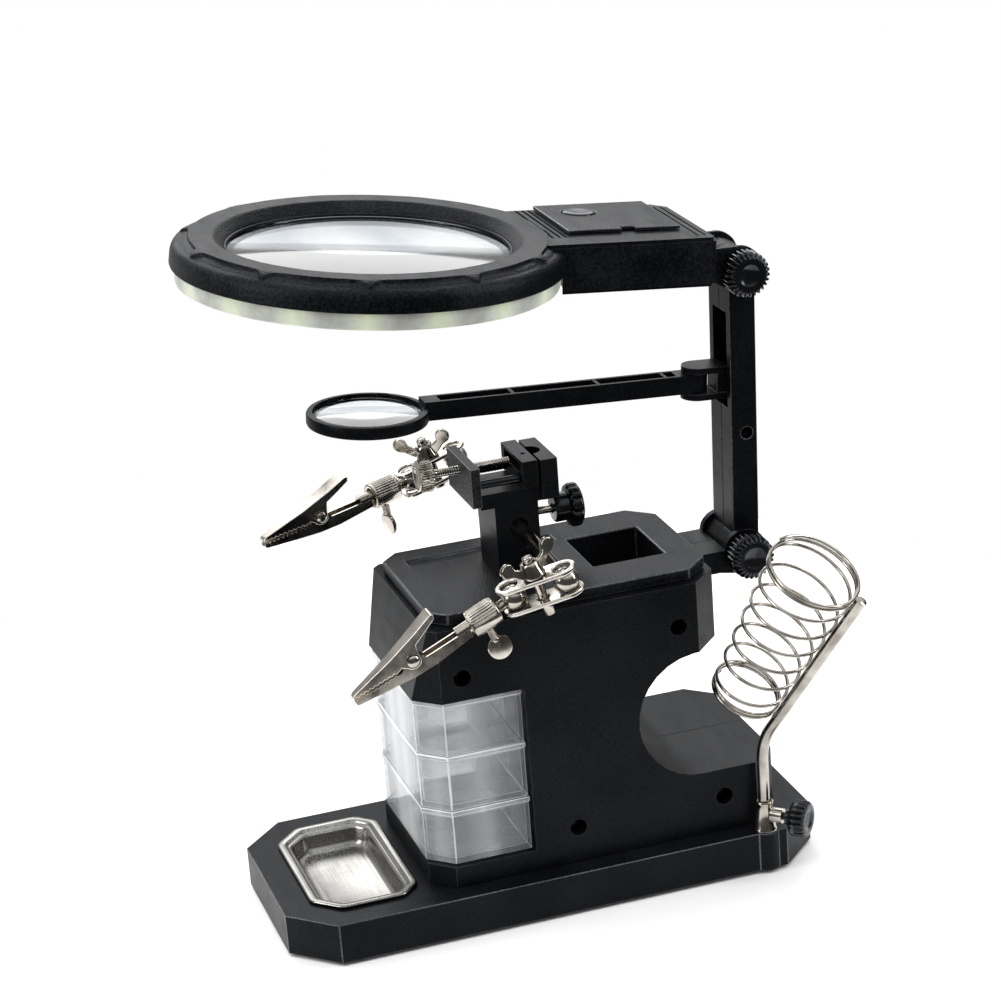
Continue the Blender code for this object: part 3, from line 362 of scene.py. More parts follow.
def refined(node, finish, bevel=0.4, smooth=38):
    """A moulded or pressed piece: the node's own shape with rounded edges."""
    body = bmesh.new()
    body.from_mesh(NODES[node].data)
    bmesh.ops.remove_doubles(body, verts=body.verts, dist=0.000002)
    bmesh.ops.dissolve_limit(
        body, angle_limit=math.radians(0.6), verts=body.verts, edges=body.edges,
        use_dissolve_boundaries=False,
    )
    made = as_object(body, f"{node}_shell")
    return dress(made, finish, (node,), bevel, smooth)


# ---------------------------------------------------------------- materials

class Nodes:
    """A node tree, with short ways to add to it.  A value is a number, a colour or
    another node's output."""

    def __init__(self, tree):
        self.tree = tree

    def feed(self, socket, value):
        """Set or link a socket."""
        if isinstance(value, bpy.types.NodeSocket):
            self.tree.links.new(value, socket)
        else:
            socket.default_value = value

    def node(self, kind, **values):
        """A node with its inputs (capital letter) and its settings filled in."""
        made = self.tree.nodes.new(kind)
        for key, value in values.items():
            if key[0].isupper():
                self.feed(made.inputs[key.replace("_", " ")], value)
            else:
                setattr(made, key, value)
        return made

    def combined(self, operation, *values, use_clamp=False):
        """The result of a math node."""
        made = self.node("ShaderNodeMath", operation=operation, use_clamp=use_clamp)
        for socket, value in zip(made.inputs, values):
            self.feed(socket, value)
        return made.outputs[0]


class Finish(Nodes):
    """A Principled material and the nodes that drive it."""

    def __init__(self, name, **sockets):
        self.material = bpy.data.materials.new(name)
        self.material.use_nodes = True
        super().__init__(self.material.node_tree)
        self.shader = self.tree.nodes["Principled BSDF"]
        for socket, value in sockets.items():
            self.shader.inputs[socket.replace("_", " ")].default_value = value
        self.coordinates = self.tree.nodes.new("ShaderNodeTexCoord").outputs["Object"]
        self.normal = None

    def stretched(self, x=1.0, y=1.0, z=1.0):
        """Object coordinates stretched along the axes."""
        return self.node("ShaderNodeMapping", Vector=self.coordinates, Scale=(x, y, z)).outputs[0]

    def noise(self, scale, detail=3.0, vector=None):
        """A noise value from 0 to 1."""
        return self.node(
            "ShaderNodeTexNoise", Vector=vector or self.coordinates, Scale=scale, Detail=detail,
        ).outputs[0]

    def between(self, value, low, high, start=0.3, end=0.7):
        """Map a value to a number."""
        return self.node(
            "ShaderNodeMapRange", Value=value, From_Min=start, From_Max=end, To_Min=low, To_Max=high,
        ).outputs[0]

    def colours(self, value, first, second, start=0.35, end=0.65):
        """Map a value to a colour."""
        ramp = self.node("ShaderNodeValToRGB", Fac=value)
        ramp.color_ramp.elements[0].position = start
        ramp.color_ramp.elements[1].position = end
        ramp.color_ramp.elements[0].color = (*first, 1.0)
        ramp.color_ramp.elements[1].color = (*second, 1.0)
        return ramp.outputs[0]

    def drive(self, socket, value):
        """Link a value to a socket of the shader."""
        self.feed(self.shader.inputs[socket], value)

    def bump(self, height, distance, strength=1.0):
        """Add a layer of relief, its height in millimetres."""
        node = self.node("ShaderNodeBump", Height=height, Distance=distance * MM, Strength=strength)
        if self.normal is not None:
            self.tree.links.new(self.normal, node.inputs["Normal"])
        self.normal = node.outputs[0]
        self.drive("Normal", self.normal)


def moulded_plastic(name, dark, light, roughness, grain, depth, gloss=0.10):
    """Black moulded plastic: fine spark texture, faint flow marks and scuffs."""
    made = Finish(name, Specular_IOR_Level=gloss, Specular_Tint=(0.82, 0.90, 1.0, 1.0))
    cloud = made.noise(38.0, 5.0)
    fine = made.noise(grain, 2.0)
    speckle = made.node("ShaderNodeMix", data_type="FLOAT", Factor=0.55, A=cloud, B=fine)
    made.drive("Base Color", made.colours(speckle.outputs[0], dark, light, 0.42, 0.60))
    scuff = made.noise(210.0, 6.0, made.stretched(1.0, 0.25, 1.0))
    made.drive("Roughness", made.combined(
        "ADD", made.between(cloud, roughness - 0.04, roughness + 0.05),
        made.between(scuff, -0.03, 0.05, 0.45, 0.75),
    ))
    made.bump(made.noise(22.0, 2.0), 0.10, 0.25)
    made.bump(fine, depth, 1.0)
    return made.material


def bright_nickel(name, dark, light, roughness):
    """Nickel plate: warm and bright, with faint polishing marks and handling haze."""
    made = Finish(name, Metallic=1.0)
    haze = made.noise(120.0, 5.0)
    made.drive("Base Color", made.colours(haze, dark, light))
    lines = made.noise(900.0, 3.0, made.stretched(1.0, 1.0, 0.08))
    made.drive("Roughness", made.between(haze, roughness, roughness + 0.12))
    made.bump(lines, 0.006, 0.5)
    made.bump(made.noise(260.0, 2.0), 0.03, 0.35)
    return made.material


def pressed_steel():
    """Stainless sheet: rolling lines along its length and shallow dents."""
    made = Finish("stainless_sheet", Metallic=1.0)
    lines = made.noise(1400.0, 4.0, made.stretched(1.0, 0.03, 1.0))
    cloud = made.noise(45.0, 4.0)
    made.drive("Base Color", made.colours(cloud, (0.22, 0.215, 0.204), (0.38, 0.371, 0.353)))
    made.drive("Roughness", made.between(lines, 0.18, 0.30))
    made.bump(lines, 0.008, 0.6)
    made.bump(cloud, 0.25, 0.30)
    return made.material


def clear_styrene(name, dark, light, straight_on, glancing):
    """Clear drawer plastic: denser at glancing angles, with flow lines and rubbed faces."""
    made = Finish(name, Roughness=0.07, IOR=1.45, Specular_IOR_Level=0.8)
    flow = made.noise(55.0, 3.0, made.stretched(1.0, 1.0, 0.08))
    facing = made.node("ShaderNodeLayerWeight", Blend=0.38).outputs["Facing"]
    made.drive("Base Color", made.colours(flow, dark, light))
    dense = made.combined(
        "ADD", made.between(facing, straight_on, glancing, 0.0, 1.0),
        made.between(flow, -0.05, 0.15, 0.40, 0.62), use_clamp=True,
    )
    # A band under each drawer's top edge is made denser: the lip's thicker plastic and a painted highlight.
    height = made.node("ShaderNodeSeparateXYZ", Vector=made.coordinates).outputs["Z"]
    half_lip = LIP_HEIGHT * MM / 2
    for level in DRAWER_LEVELS:
        lip = made.combined("COMPARE", height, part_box(f"drawer_{level}")[1].z - half_lip, half_lip)
        dense = made.combined("MULTIPLY_ADD", lip, LIP_DENSITY_AND_HIGHLIGHT, dense, use_clamp=True)
    made.drive("Alpha", dense)
    made.bump(flow, 0.05, 0.25)
    return made.material


def lens_glass():
    """Lens glass: clear and polished, with dust and a faint smear."""
    made = Finish("lens_glass", IOR=1.47, Transmission_Weight=1.0)
    dust = made.noise(900.0, 2.0)
    smear = made.noise(28.0, 4.0, made.stretched(1.0, 0.4, 1.0))
    made.drive("Base Color", made.colours(smear, (0.44, 0.48, 0.52), (0.80, 0.82, 0.84)))
    made.drive("Roughness", made.between(smear, 0.01, 0.06))
    made.bump(dust, 0.002, 0.2)
    return made.material


def frosted_light():
    """Translucent white light ring with a painted glow, brighter and greener over each diode."""
    made = Finish("frosted_light_ring", Roughness=0.38, Specular_IOR_Level=0.5)
    split = made.node("ShaderNodeSeparateXYZ", Vector=made.coordinates).outputs
    angle = made.combined("ARCTAN2", split["Y"], split["X"])
    wave = made.combined("COSINE", made.combined("MULTIPLY", angle, DIODES))
    grain = made.noise(320.0, 3.0)
    made.drive("Base Color", made.colours(grain, (0.50, 0.52, 0.46), (0.60, 0.62, 0.56)))
    painted_glow_tint = made.colours(wave, (0.70, 0.74, 0.66), (0.90, 1.0, 0.62), 0.05, 0.95)
    # Emission paints a glow on the band: faint all round, stronger and greener over each diode.
    made.drive("Emission Color", painted_glow_tint)
    made.drive("Emission Strength", made.between(wave, 0.03, 0.30, -1.0, 1.0))
    made.bump(grain, 0.02, 0.3)
    return made.material


BLACK = moulded_plastic(
    "black_abs_grain", (0.0020, 0.0023, 0.0029), (0.0072, 0.0078, 0.0092), 0.36, 1500.0, 0.080,
)
SMOOTH_BLACK = moulded_plastic(
    "black_smooth", (0.0022, 0.0022, 0.0027), (0.0052, 0.0053, 0.0060), 0.20, 1600.0, 0.015, 0.45,
)
PEBBLE = moulded_plastic(
    "black_pebble", (0.0022, 0.0026, 0.0034), (0.0135, 0.0145, 0.0170), 0.38, 1150.0, 0.220,
)
GREY_GRAIN = moulded_plastic(
    "grey_grain", (0.004, 0.0045, 0.0055), (0.026, 0.028, 0.031), 0.36, 1000.0, 0.260,
)
# Lighter plastic for the bevelled edges of the black parts: wear along the edges and a painted highlight.
WORN_AND_HIGHLIGHT_EDGE = moulded_plastic(
    "black_abs_worn_and_highlight_edge", (0.030, 0.032, 0.036), (0.110, 0.116, 0.128), 0.28, 1500.0, 0.020, 0.40,
)
NICKEL = bright_nickel("bright_nickel", (0.36, 0.33, 0.29), (0.62, 0.58, 0.52), 0.10)
DULL_NICKEL = bright_nickel("dull_nickel", (0.28, 0.26, 0.23), (0.54, 0.51, 0.46), 0.08)
# Brighter nickel for the bevelled edges: a painted highlight.
NICKEL_HIGHLIGHT_EDGE = bright_nickel("nickel_painted_highlight_edge", (0.82, 0.78, 0.71), (0.97, 0.94, 0.89), 0.26)
SCREW = bright_nickel("blackened_steel", (0.03, 0.03, 0.03), (0.07, 0.07, 0.07), 0.30)
STEEL = pressed_steel()
CLEAR = clear_styrene("clear_styrene", (0.38, 0.40, 0.43), (0.74, 0.76, 0.78), 0.15, 0.62)
# Lighter, denser clear plastic for the bevelled edges: a painted highlight.
CLEAR_HIGHLIGHT_EDGE = clear_styrene("clear_styrene_highlight_edge", (0.72, 0.75, 0.79), (0.96, 0.97, 0.98), 0.72, 0.95)
GLASS = lens_glass()
LIGHT = frosted_light()
# Finishes of the bevels: painted highlights along the edges, on the black plastics also wear.
EDGES = {BLACK: WORN_AND_HIGHLIGHT_EDGE, PEBBLE: WORN_AND_HIGHLIGHT_EDGE, GREY_GRAIN: WORN_AND_HIGHLIGHT_EDGE, CLEAR: CLEAR_HIGHLIGHT_EDGE, NICKEL: NICKEL_HIGHLIGHT_EDGE}


# ------------------------------------------------------------ turned shapes

def waved(count, depth, sharp=1.0, low=-1e9, high=1e9):
    """A reshape that sinks grooves round a turned piece between two heights."""
    def reshape(angle, radius, height):
        if not low <= height <= high:
            return radius, height
        wave = 0.5 - 0.5 * math.cos(angle * count)
        return radius - depth * wave ** sharp, height
    return reshape


def threaded(radius, depth, pitch, top, bottom):
    """Profile points of a screw thread, from top down to bottom."""
    count = max(2, round((top - bottom) / pitch))
    points = []
    for i in range(count):
        h = top - (top - bottom) * i / count
        points += [(radius, h), (radius - depth, h - pitch / 2)]
    return points + [(radius, bottom)]


def ball_profile(neck, count=14):
    """Half outline of a ball from its pole to its neck."""
    end = math.pi - math.asin(neck / BALL_R)
    angles = [math.pi / 2 - end * i / count for i in range(1, count + 1)]
    return [(0.0, BALL_R)] + [(BALL_R * math.cos(a), BALL_R * math.sin(a)) for a in angles]


def lens_profile(radius, edge, crown, count=14):
    """A double convex lens with a ground edge."""
    shares = [i / count for i in range(count + 1)]
    top = [(radius * s, edge + crown * (1 - s * s)) for s in shares]
    bottom = [(radius * s, -0.5 * crown * (1 - s * s)) for s in reversed(shares)]
    return top + bottom


# --------------------------------------------------------- base and housing

def make_base():
    """Base, housing shells, lid and screws."""
    refined("base_shell", BLACK, 0.9)
    refined("base_bottom_plate", PEBBLE, 0.4)
    refined("housing_front", BLACK, 0.8)
    refined("housing_rear", BLACK, 0.8)
    refined("top_lid", PEBBLE, 0.5)
    for number in range(1, 5):
        node = f"housing_screw_{number}"
        low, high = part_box(node)
        at = Vector(((low.x + high.x) / 2, low.y, (low.z + high.z) / 2))
        head = [(0, 1.0), (0.9, 1.0), (1.6, 0.9), (2.4, 0.5), (2.7, -0.2), (2.7, -1.2), (2.4, -1.6)]
        shank = threaded(1.3, 0.22, 0.9, -1.8, -11.6) + [(0.6, -12.6), (0, -13.0)]
        body = lathe(head + shank, 32)
        reach, half, depth = 1.5, 0.3, 0.1
        cross = [(CUT, block((-reach, -half, depth), (reach, half, 2.0))),
                 (CUT, block((-half, -reach, depth), (half, reach, 2.0)))]
        place = Matrix.Translation(at) @ Matrix.Rotation(math.radians(90), 4, "X")
        place = place @ Matrix.Translation((0, 0, -1.0 * MM))
        piece(f"{node}_cross", shaped(body, *cross), place, SCREW, node)


def rounded(points, radius, count=5):
    """Round an outline's corners with short curves."""
    made = []
    for i, here in enumerate(points):
        here = Vector(here)
        before, after = Vector(points[i - 1]), Vector(points[(i + 1) % len(points)])
        reach = min(radius, 0.45 * (before - here).length, 0.45 * (after - here).length)
        start = here + (before - here).normalized() * reach
        end = here + (after - here).normalized() * reach
        for k in range(count + 1):
            t = k / count
            made.append(tuple(start * (1 - t) ** 2 + here * 2 * t * (1 - t) + end * t * t))
    return made


def chamfered(x0, x1, half, left, right, inset):
    """A rectangle with cut corners, moved inwards."""
    trim = inset * (2 - math.sqrt(2))
    x0, x1, half, left, right = x0 + inset, x1 - inset, half - inset, left - trim, right - trim
    return [
        (x0 + left, -half), (x1 - right, -half), (x1, -half + right), (x1, half - right),
        (x1 - right, half), (x0 + left, half), (x0, half - left), (x0, -half + left),
    ]


def make_tray():
    """Pressed tray: rolled rim, stepped shoulder and a floor with rounded corners."""
    low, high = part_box("solder_tray")
    x0, x1, half, rim = low.x / MM, high.x / MM, high.y / MM, high.z / MM
    section = [
        (0.05, -0.85, 1.8), (0.0, -0.45, 1.8), (0.25, -0.08, 1.8), (0.7, 0.0, 1.8), (1.9, 0.0, 1.8),
        (2.5, -0.2, 1.8), (2.8, -0.7, 1.8), (3.1, -1.1, 1.8), (3.6, -1.25, 1.8), (4.2, -1.5, 1.8),
        (4.6, -2.2, 1.8), (5.2, -6.0, 1.98), (5.8, -7.3, 2.16), (6.8, -8.1, 2.34), (8.2, -8.35, 2.52),
    ]
    body = bmesh.new()
    rings = []
    for inset, drop, corner in section:
        cut = chamfered(x0, x1, half, TRAY_CUT_LEFT, TRAY_CUT_RIGHT, inset)
        outline = rounded(cut, corner)
        rings.append([body.verts.new((x, y, rim + drop)) for x, y in outline])
    count = len(rings[0])
    for outer, inner in zip(rings, rings[1:]):
        for k in range(count):
            body.faces.new((outer[k - 1], outer[k], inner[k], inner[k - 1]))
    body.faces.new(rings[-1])
    bmesh.ops.recalc_face_normals(body, faces=body.faces)
    if body.faces[-1].normal.z < 0:
        bmesh.ops.reverse_faces(body, faces=body.faces)
    made = piece("solder_tray_pressing", body, WORLD, STEEL, "solder_tray", smooth=60)
    sheet = made.modifiers.new("sheet", "SOLIDIFY")
    sheet.thickness = TRAY_SHEET * MM
    sheet.offset = -1.0


def make_drawers():
    """Three clear drawers with rounded edges."""
    for level in DRAWER_LEVELS:
        refined(f"drawer_{level}", CLEAR, 0.7)


# --------------------------------------------------------------------- vise

def make_vise():
    """Vise on its post, its ribbed guide rods, knurled screw and rod lock."""
    refined("vise_body", BLACK, 0.45)
    refined("vise_moving_jaw", BLACK, 0.3)
    refined("vise_end_plate", GREY_GRAIN, 0.35)
    for node in ("vise_guide_rod_1", "vise_guide_rod_2"):
        low, high = box_mm(node)
        middle, length = (low + high) / 2, high.x - low.x
        profile = [(0, length), (1.3, length)] + threaded(1.6, 0.22, 1.1, length - 0.4, 0.4)
        start = (low.x, middle.y, middle.z)
        turn = along(start, (high.x, middle.y, middle.z))
        body = lathe(profile + [(1.3, 0), (0, 0)], 32, turn=turn)
        piece(f"{node}_ribbed", body, WORLD, SMOOTH_BLACK, node, smooth=60)

    profile = [(0, 10.6), (2.2, 10.6), (2.6, 11.0), (4.4, 11.0), (5.1, 10.7), (5.5, 10.1), (5.5, 8.3),
               (5.5, 6.5), (5.1, 5.9), (4.0, 5.6), (2.6, 5.6), (2.2, 5.0), (1.5, 4.6)]
    profile += threaded(1.5, 0.2, 0.8, 4.4, -21.2) + [(0, -21.6)]
    body = lathe(profile, 160, waved(40, 0.45, 0.7, 6.2, 10.4))
    place = on_joint("vise_screw_spin")
    piece("vise_thumbscrew_knurled", body, place, NICKEL, "vise_screw", smooth=50)

    low, high = box_mm("rod_lock_knob")
    start = (low.x, 0, (low.z + high.z) / 2)
    turn = along(start, (high.x, 0, start[2]))
    profile = [(0, 9.3), (3.0, 9.3), (3.4, 9.6), (6.4, 9.6), (7.2, 9.2), (7.5, 8.5), (7.5, 6.4),
               (7.1, 5.7), (6.2, 5.3), (5.0, 5.0), (5.0, 0.8), (4.5, 0.1), (1.8, 0.0), (1.8, 3.4),
               (0, 3.4)]
    flange = waved(9, 1.3, 6.0, 5.5, 9.3)
    body = lathe(profile, 144, lambda a, r, h: flange(a, r, h) if r > 5.5 else (r, h), turn)
    piece("rod_lock_knob_notched", body, WORLD, SMOOTH_BLACK, "rod_lock_knob", smooth=45)
    low, high = box_mm("rod_lock_screw")
    length = high.x - low.x
    turn = along((low.x, 0, start[2]), (high.x, 0, start[2]))
    body = lathe([(0, length)] + threaded(1.5, 0.2, 0.7, length, 0.3) + [(0, 0)], 32, turn=turn)
    piece("rod_lock_screw_thread", body, WORLD, NICKEL, "rod_lock_screw", smooth=60)


# --------------------------------------------------------- clamps and clips

def make_cross_rod():
    """Polished rod with its two balls."""
    profile = [(r, ROD_HALF + z) for r, z in ball_profile(ROD_R)]
    profile += [(r, -z) for r, z in reversed(profile)]
    body = lathe(profile, 48)
    piece("cross_rod_polished", body, on_joint("cross_rod_turn"), NICKEL, "cross_rod", smooth=60)


def make_clamp(side, wing_turn, tip_r, tip_length):
    """Two dished plates, screw and wing nut of one ball clamp."""
    place = CLAMP[side]
    middle = BALL_SPACING / 2
    outline = arc((BALL_SPACING, 0), PLATE_HALF_WIDTH, -90, 90, 24)
    outline += arc((0, 0), PLATE_HALF_WIDTH, 90, 270, 24)
    for label, low, high in (("upper", PLATE_IN, PLATE_OUT), ("lower", -PLATE_OUT, -PLATE_IN)):
        holes = [
            (CUT, rod((x, 0, low - 1), (x, 0, high + 1), radius, 36))
            for x, radius in ((0.0, 3.1), (middle, 2.1), (BALL_SPACING, 3.1))
        ]
        node = f"clamp_{side}_{label}_plate"
        body = shaped(prism(outline, low, high), *holes)
        piece(f"{node}_drilled", body, place, NICKEL, node, bevel=0.4)

    top = PLATE_OUT + 7.6
    bottom = -PLATE_OUT - tip_length
    profile = [(0, top), (1.2, top), (1.7, top - 0.5)]
    profile += threaded(1.7, 0.2, 0.75, top - 0.7, -PLATE_OUT - 0.3)
    profile += [(tip_r, -PLATE_OUT - 0.32), (tip_r, bottom + 0.6), (tip_r - 0.6, bottom), (0, bottom)]
    turn = Matrix.Translation((middle, 0, 0))
    node = f"clamp_{side}_screw"
    piece(f"{node}_thread", lathe(profile, 36, turn=turn), place, NICKEL, node, smooth=60)

    base = PLATE_OUT + 0.3
    hub = [(2.0, 5.0), (2.6, 5.2), (3.0, 4.9), (3.2, 3.4), (3.7, 1.2), (4.0, 0.5), (3.8, 0.0), (2.0, 0.0),
           (2.0, 5.0)]
    spin = Matrix.Rotation(math.radians(wing_turn), 4, "Z")
    steps = []
    for sign in (-1, 1):
        wing = [(2.2, 0.8), (4.2, 0.8), (6.0, 2.2), (7.3, 3.4)] + arc((8.3, 6.6), 2.6, -60, 150, 18)
        wing += [(5.6, 5.6), (4.0, 4.6), (2.2, 4.4)]
        fin = prism([(sign * x, z) for x, z in wing], -0.8, 0.8, "Y")
        soften(fin, 1.2, 0.45, 3)
        bmesh.ops.transform(fin, matrix=spin, verts=fin.verts)
        steps.append((JOIN, fin))
    body = shaped(lathe(hub, 48), *steps)
    bmesh.ops.translate(body, vec=(middle, 0, base), verts=body.verts)
    node = f"clamp_{side}_wing_nut"
    piece(f"{node}_cast", body, place, NICKEL, node, smooth=50)


def teeth(shift):
    """Zigzag edge of a jaw, from its back to its tip."""
    edge = []
    for i in range(TEETH):
        at = 27.5 + i * TOOTH_PITCH
        edge += [(at, 0.35 + shift), (at + TOOTH_PITCH / 2, 1.0 + shift)]
    return edge + [(43.4, 0.35 + shift)]


def pressed_jaw(outline, hollow, half, sheet, *steps):
    """A jaw folded from sheet: a channel that narrows towards its tip."""
    shape = [(JAW_BASE + s, z) for s, z in outline]
    inside = [(JAW_BASE + s, z) for s, z in hollow]
    back, shoulder, tip = JAW_BASE - 4, JAW_BASE + 14, JAW_BASE + JAW_LENGTH
    bodies = []
    for points, width, at_tip in ((shape, half, 1.5), (inside, half - sheet, 1.5 - sheet)):
        body = prism(points, -width, width, "Y")
        taper = prism(
            [(back, -width), (shoulder, -width), (tip, -at_tip), (tip, at_tip), (shoulder, width),
             (back, width)], -20, 20,
        )
        bodies.append(shaped(body, (KEEP, taper)))
    hole = rod((PIVOT_S, -9, PIVOT_T), (PIVOT_S, 9, PIVOT_T), 1.35, 24)
    return shaped(bodies[0], (CUT, bodies[1]), (CUT, hole), *steps)


def make_jaws(side):
    """Upper jaw with its long handle, and lower jaw on its stem."""
    place = CLIP[side]
    ear = arc((21.0, PIVOT_T), 3.0, -150, -30, 14)
    upper = [(8.3, 10.6), (17.6, 6.2), (18.2, 3.4)] + ear + [(25.2, 1.6)] + teeth(0.35)
    upper += [(43.5, 1.5), (42.6, 2.3), (27.0, 6.3), (17.0, 9.6), (9.4, 12.4), (8.5, 12.5),
              (8.0, 12.0)]
    hollow = [(6.0, 10.6), (9.0, 11.8), (17.0, 8.9), (27.0, 5.6), (42.4, 1.7), (46.0, 0.4),
              (46.0, -6.0), (6.0, -6.0)]
    body = pressed_jaw(upper, hollow, 3.2, 0.6)
    node = f"clip_{side}_upper_jaw"
    piece(f"{node}_pressing", body, place, NICKEL, node, bevel=0.28, smooth=30)

    ear = arc((21.0, PIVOT_T), 2.7, 20, 160, 16)
    lower = [(0.2, -2.6), (14.0, -3.9), (22.0, -3.9), (32.0, -2.9), (42.4, -1.7), (43.4, -1.2)]
    lower += teeth(-0.85)[::-1] + [(25.0, 0.3)] + ear + [(16.6, 0.2), (0.2, 0.2)]
    hollow = [(-4.0, -1.9), (14.0, -3.2), (22.0, -3.2), (32.0, -2.2), (46.0, -0.7), (46.0, 8.0),
              (-4.0, 8.0)]
    stem = rod((SOCKET_END - 7.4, 0, 0), (JAW_BASE + 4.5, 0, 0), 2.3, 32)
    body = pressed_jaw(lower, hollow, 2.3, 0.6, (JOIN, stem))
    node = f"clip_{side}_lower_jaw"
    piece(f"{node}_pressing", body, place, NICKEL, node, bevel=0.28, smooth=30)


def make_clip(side, spade_turn):
    """Ball and ribbed socket, spade screw, jaws and rivet of one clip."""
    place = CLIP[side]
    onto_x = along((0, 0, 0), (1, 0, 0))
    start, end, flange = SOCKET_START, SOCKET_END, SOCKET_FLANGE_R
    profile = [(0, end - 8.0), (3.2, end - 8.0), (3.2, end - 0.3), (3.5, end), (4.3, end),
               (flange, end - 0.2), (flange, end - 0.9), (SOCKET_R, end - 1.1),
               (SOCKET_R, start + 1.5), (flange, start + 1.3), (flange, start + 0.6),
               (4.2, start + 0.1), (2.6, start), (SOCKET_NECK_R, start - 0.6)]
    profile += [(r, -z) for r, z in reversed(ball_profile(SOCKET_NECK_R))]
    ribs = waved(30, 0.42, 1.6)

    def ribbed_back(angle, radius, height):
        """Ribs along the barrel's upper half; its lower half is smooth."""
        up = (onto_x @ Vector((math.cos(angle), math.sin(angle), 0))).z
        on_barrel = radius == SOCKET_R and up > 0.15
        return ribs(angle, radius, height) if on_barrel else (radius, height)

    body = lathe(profile, 240, ribbed_back, onto_x)
    screw_s = SOCKET_START + 5.5
    body = shaped(body, (CUT, rod((screw_s, 0, -8), (screw_s, 0, -2), 1.7, 24)))
    piece(f"clip_{side}_socket", body, place, NICKEL, f"clip_{side}_holder", smooth=50)

    shank = [(0, -2.85)] + threaded(1.35, 0.16, 0.6, -2.9, -8.8) + [(1.2, -9.6), (0, -9.8)]
    spin = Matrix.Rotation(math.radians(spade_turn), 4, "Z")
    coin = [(0, 0.7), (3.4, 0.75), (4.0, 0.65), (4.2, 0.3), (4.2, -0.3), (4.0, -0.65), (3.4, -0.75),
            (0, -0.7)]
    turn = Matrix.Translation((0, 0, -12.4)) @ spin @ Matrix.Rotation(math.radians(90), 4, "X")
    spade = lathe(coin, 48, turn=turn)
    body = shaped(lathe(shank, 28), (JOIN, spade))
    bmesh.ops.translate(body, vec=(screw_s, 0, 0), verts=body.verts)
    piece(f"clip_{side}_spade_screw", body, place, NICKEL, f"clip_{side}_thumbscrew", smooth=50)

    make_jaws(side)
    reach = 3.5
    half = [(0, reach + 0.75), (0.9, reach + 0.7), (1.6, reach + 0.5), (2.0, reach + 0.12), (1.9, reach),
            (1.1, reach)]
    turn = along((PIVOT_S, 0, PIVOT_T), (PIVOT_S, 1, PIVOT_T))
    body = lathe(half + [(r, -z) for r, z in reversed(half)], 40, turn=turn)
    piece(f"clip_{side}_rivet_head", body, place, NICKEL, f"clip_{side}_rivet", smooth=50)


# --------------------------------------------------------------------- mast

def fluted_knob(node, place):
    """Black knob with deep flutes and a dished face, on a hinge bolt."""
    profile = [(0, 7.9), (3.0, 8.0), (3.4, 8.4), (4.4, 8.6), (5.9, 8.5), (6.9, 8.0), (7.6, 7.2),
               (7.8, 6.2), (7.8, 3.6), (7.8, 2.0), (7.4, 1.2), (6.6, 0.3), (5.6, 0.0), (2.3, 0.0),
               (2.3, 5.3), (0, 5.3)]
    flutes = waved(26, 1.0, 1.6, 0.9, 8.1)
    body = lathe(profile, 260, lambda a, r, h: flutes(a, r, h) if r > 6.5 else (r, h))
    piece(f"{node}_fluted", body, place, SMOOTH_BLACK, node, smooth=50)


def make_mast():
    """Mast halves and the two hinges' bolts and knobs."""
    refined("mast_front_half", BLACK, 0.5)
    refined("mast_rear_half", BLACK, 0.5)
    for level, joint, turn in (("lower", "mast_tilt", MAST), ("upper", "head_tilt", HEAD)):
        ear_face = turn @ Matrix.Translation((0, -(EAR_OUT + 0.3) * MM, 0))
        fluted_knob(f"hinge_knob_{level}", ear_face @ along((0, 0, 0), (0, -1, 0)))
        profile = [(0, 14.8), (2.4, 15.2), (3.0, 15.1), (3.6, 14.6), (3.6, 12.4), (3.3, 12.1),
                   (BOLT_R, 12.1), (BOLT_R, -12.0)]
        profile += threaded(BOLT_R, 0.2, 0.8, -12.1, -16.6) + [(0, -16.9)]
        place = Matrix.Translation(pivot(joint)) @ along((0, 0, 0), (0, 1, 0))
        node = f"hinge_bolt_{level}"
        piece(f"{node}_thread", lathe(profile, 36), place, SCREW, node, smooth=50)


# --------------------------------------------------------------- small lens

def make_small_lens():
    """Knuckle, channel arm with ribs, ring and lens."""
    refined("lens_knuckle", BLACK, 0.35)
    refined("knuckle_pin", NICKEL, 0.2)
    at, low, high = -ARM_REACH, SMALL_RING_LOW, SMALL_RING_HIGH
    near = at + SMALL_RING_R
    body = block((near - 1.6, -ARM_HALF_Y, -ARM_HALF_Z), (-0.5, ARM_HALF_Y, ARM_HALF_Z))
    steps = [(JOIN, rod((0, 0, -ARM_HALF_Z), (0, 0, ARM_HALF_Z), ARM_HALF_Y, 48))]
    ribs = (near + 3.4, *ARM_RIBS)
    for left, right in zip(ribs, ribs[1:]):
        steps.append((CUT, block((left + 0.6, -2.7, 1.0), (right - 0.6, 2.7, 6.0))))
    rim = [(SMALL_RING_R - 0.9, high), (SMALL_RING_R - 0.3, high - 0.2), (SMALL_RING_R, high - 0.8),
           (SMALL_RING_R, low + 0.8), (SMALL_RING_R - 0.3, low + 0.2), (SMALL_RING_R - 0.9, low), (0, low)]
    steps.append((JOIN, lathe([(0, high)] + rim, 128, turn=Matrix.Translation((at, 0, 0)))))
    steps.append((CUT, rod((at, 0, low + 1.0), (at, 0, high + 3), SMALL_LENS_R + 0.3, 128)))
    steps.append((CUT, rod((at, 0, low - 1), (at, 0, high), SMALL_LENS_R - 1.2, 128)))
    steps.append((CUT, rod((0, 0, -9), (0, 0, 9), 1.75, 32)))
    piece("lens_arm_channel", shaped(body, *steps), ARM, BLACK, "lens_arm", bevel=0.25)
    turn = Matrix.Translation((at, 0, low + 1.3))
    body = lathe(lens_profile(SMALL_LENS_R, 1.6, 1.1), 128, turn=turn)
    piece("small_lens_polished", body, ARM, GLASS, "small_lens", smooth=50)


# --------------------------------------------------------------------- head

def smoothstep(value):
    """Ease from 0 to 1."""
    t = min(1.0, max(0.0, value))
    return t * t * (3 - 2 * t)


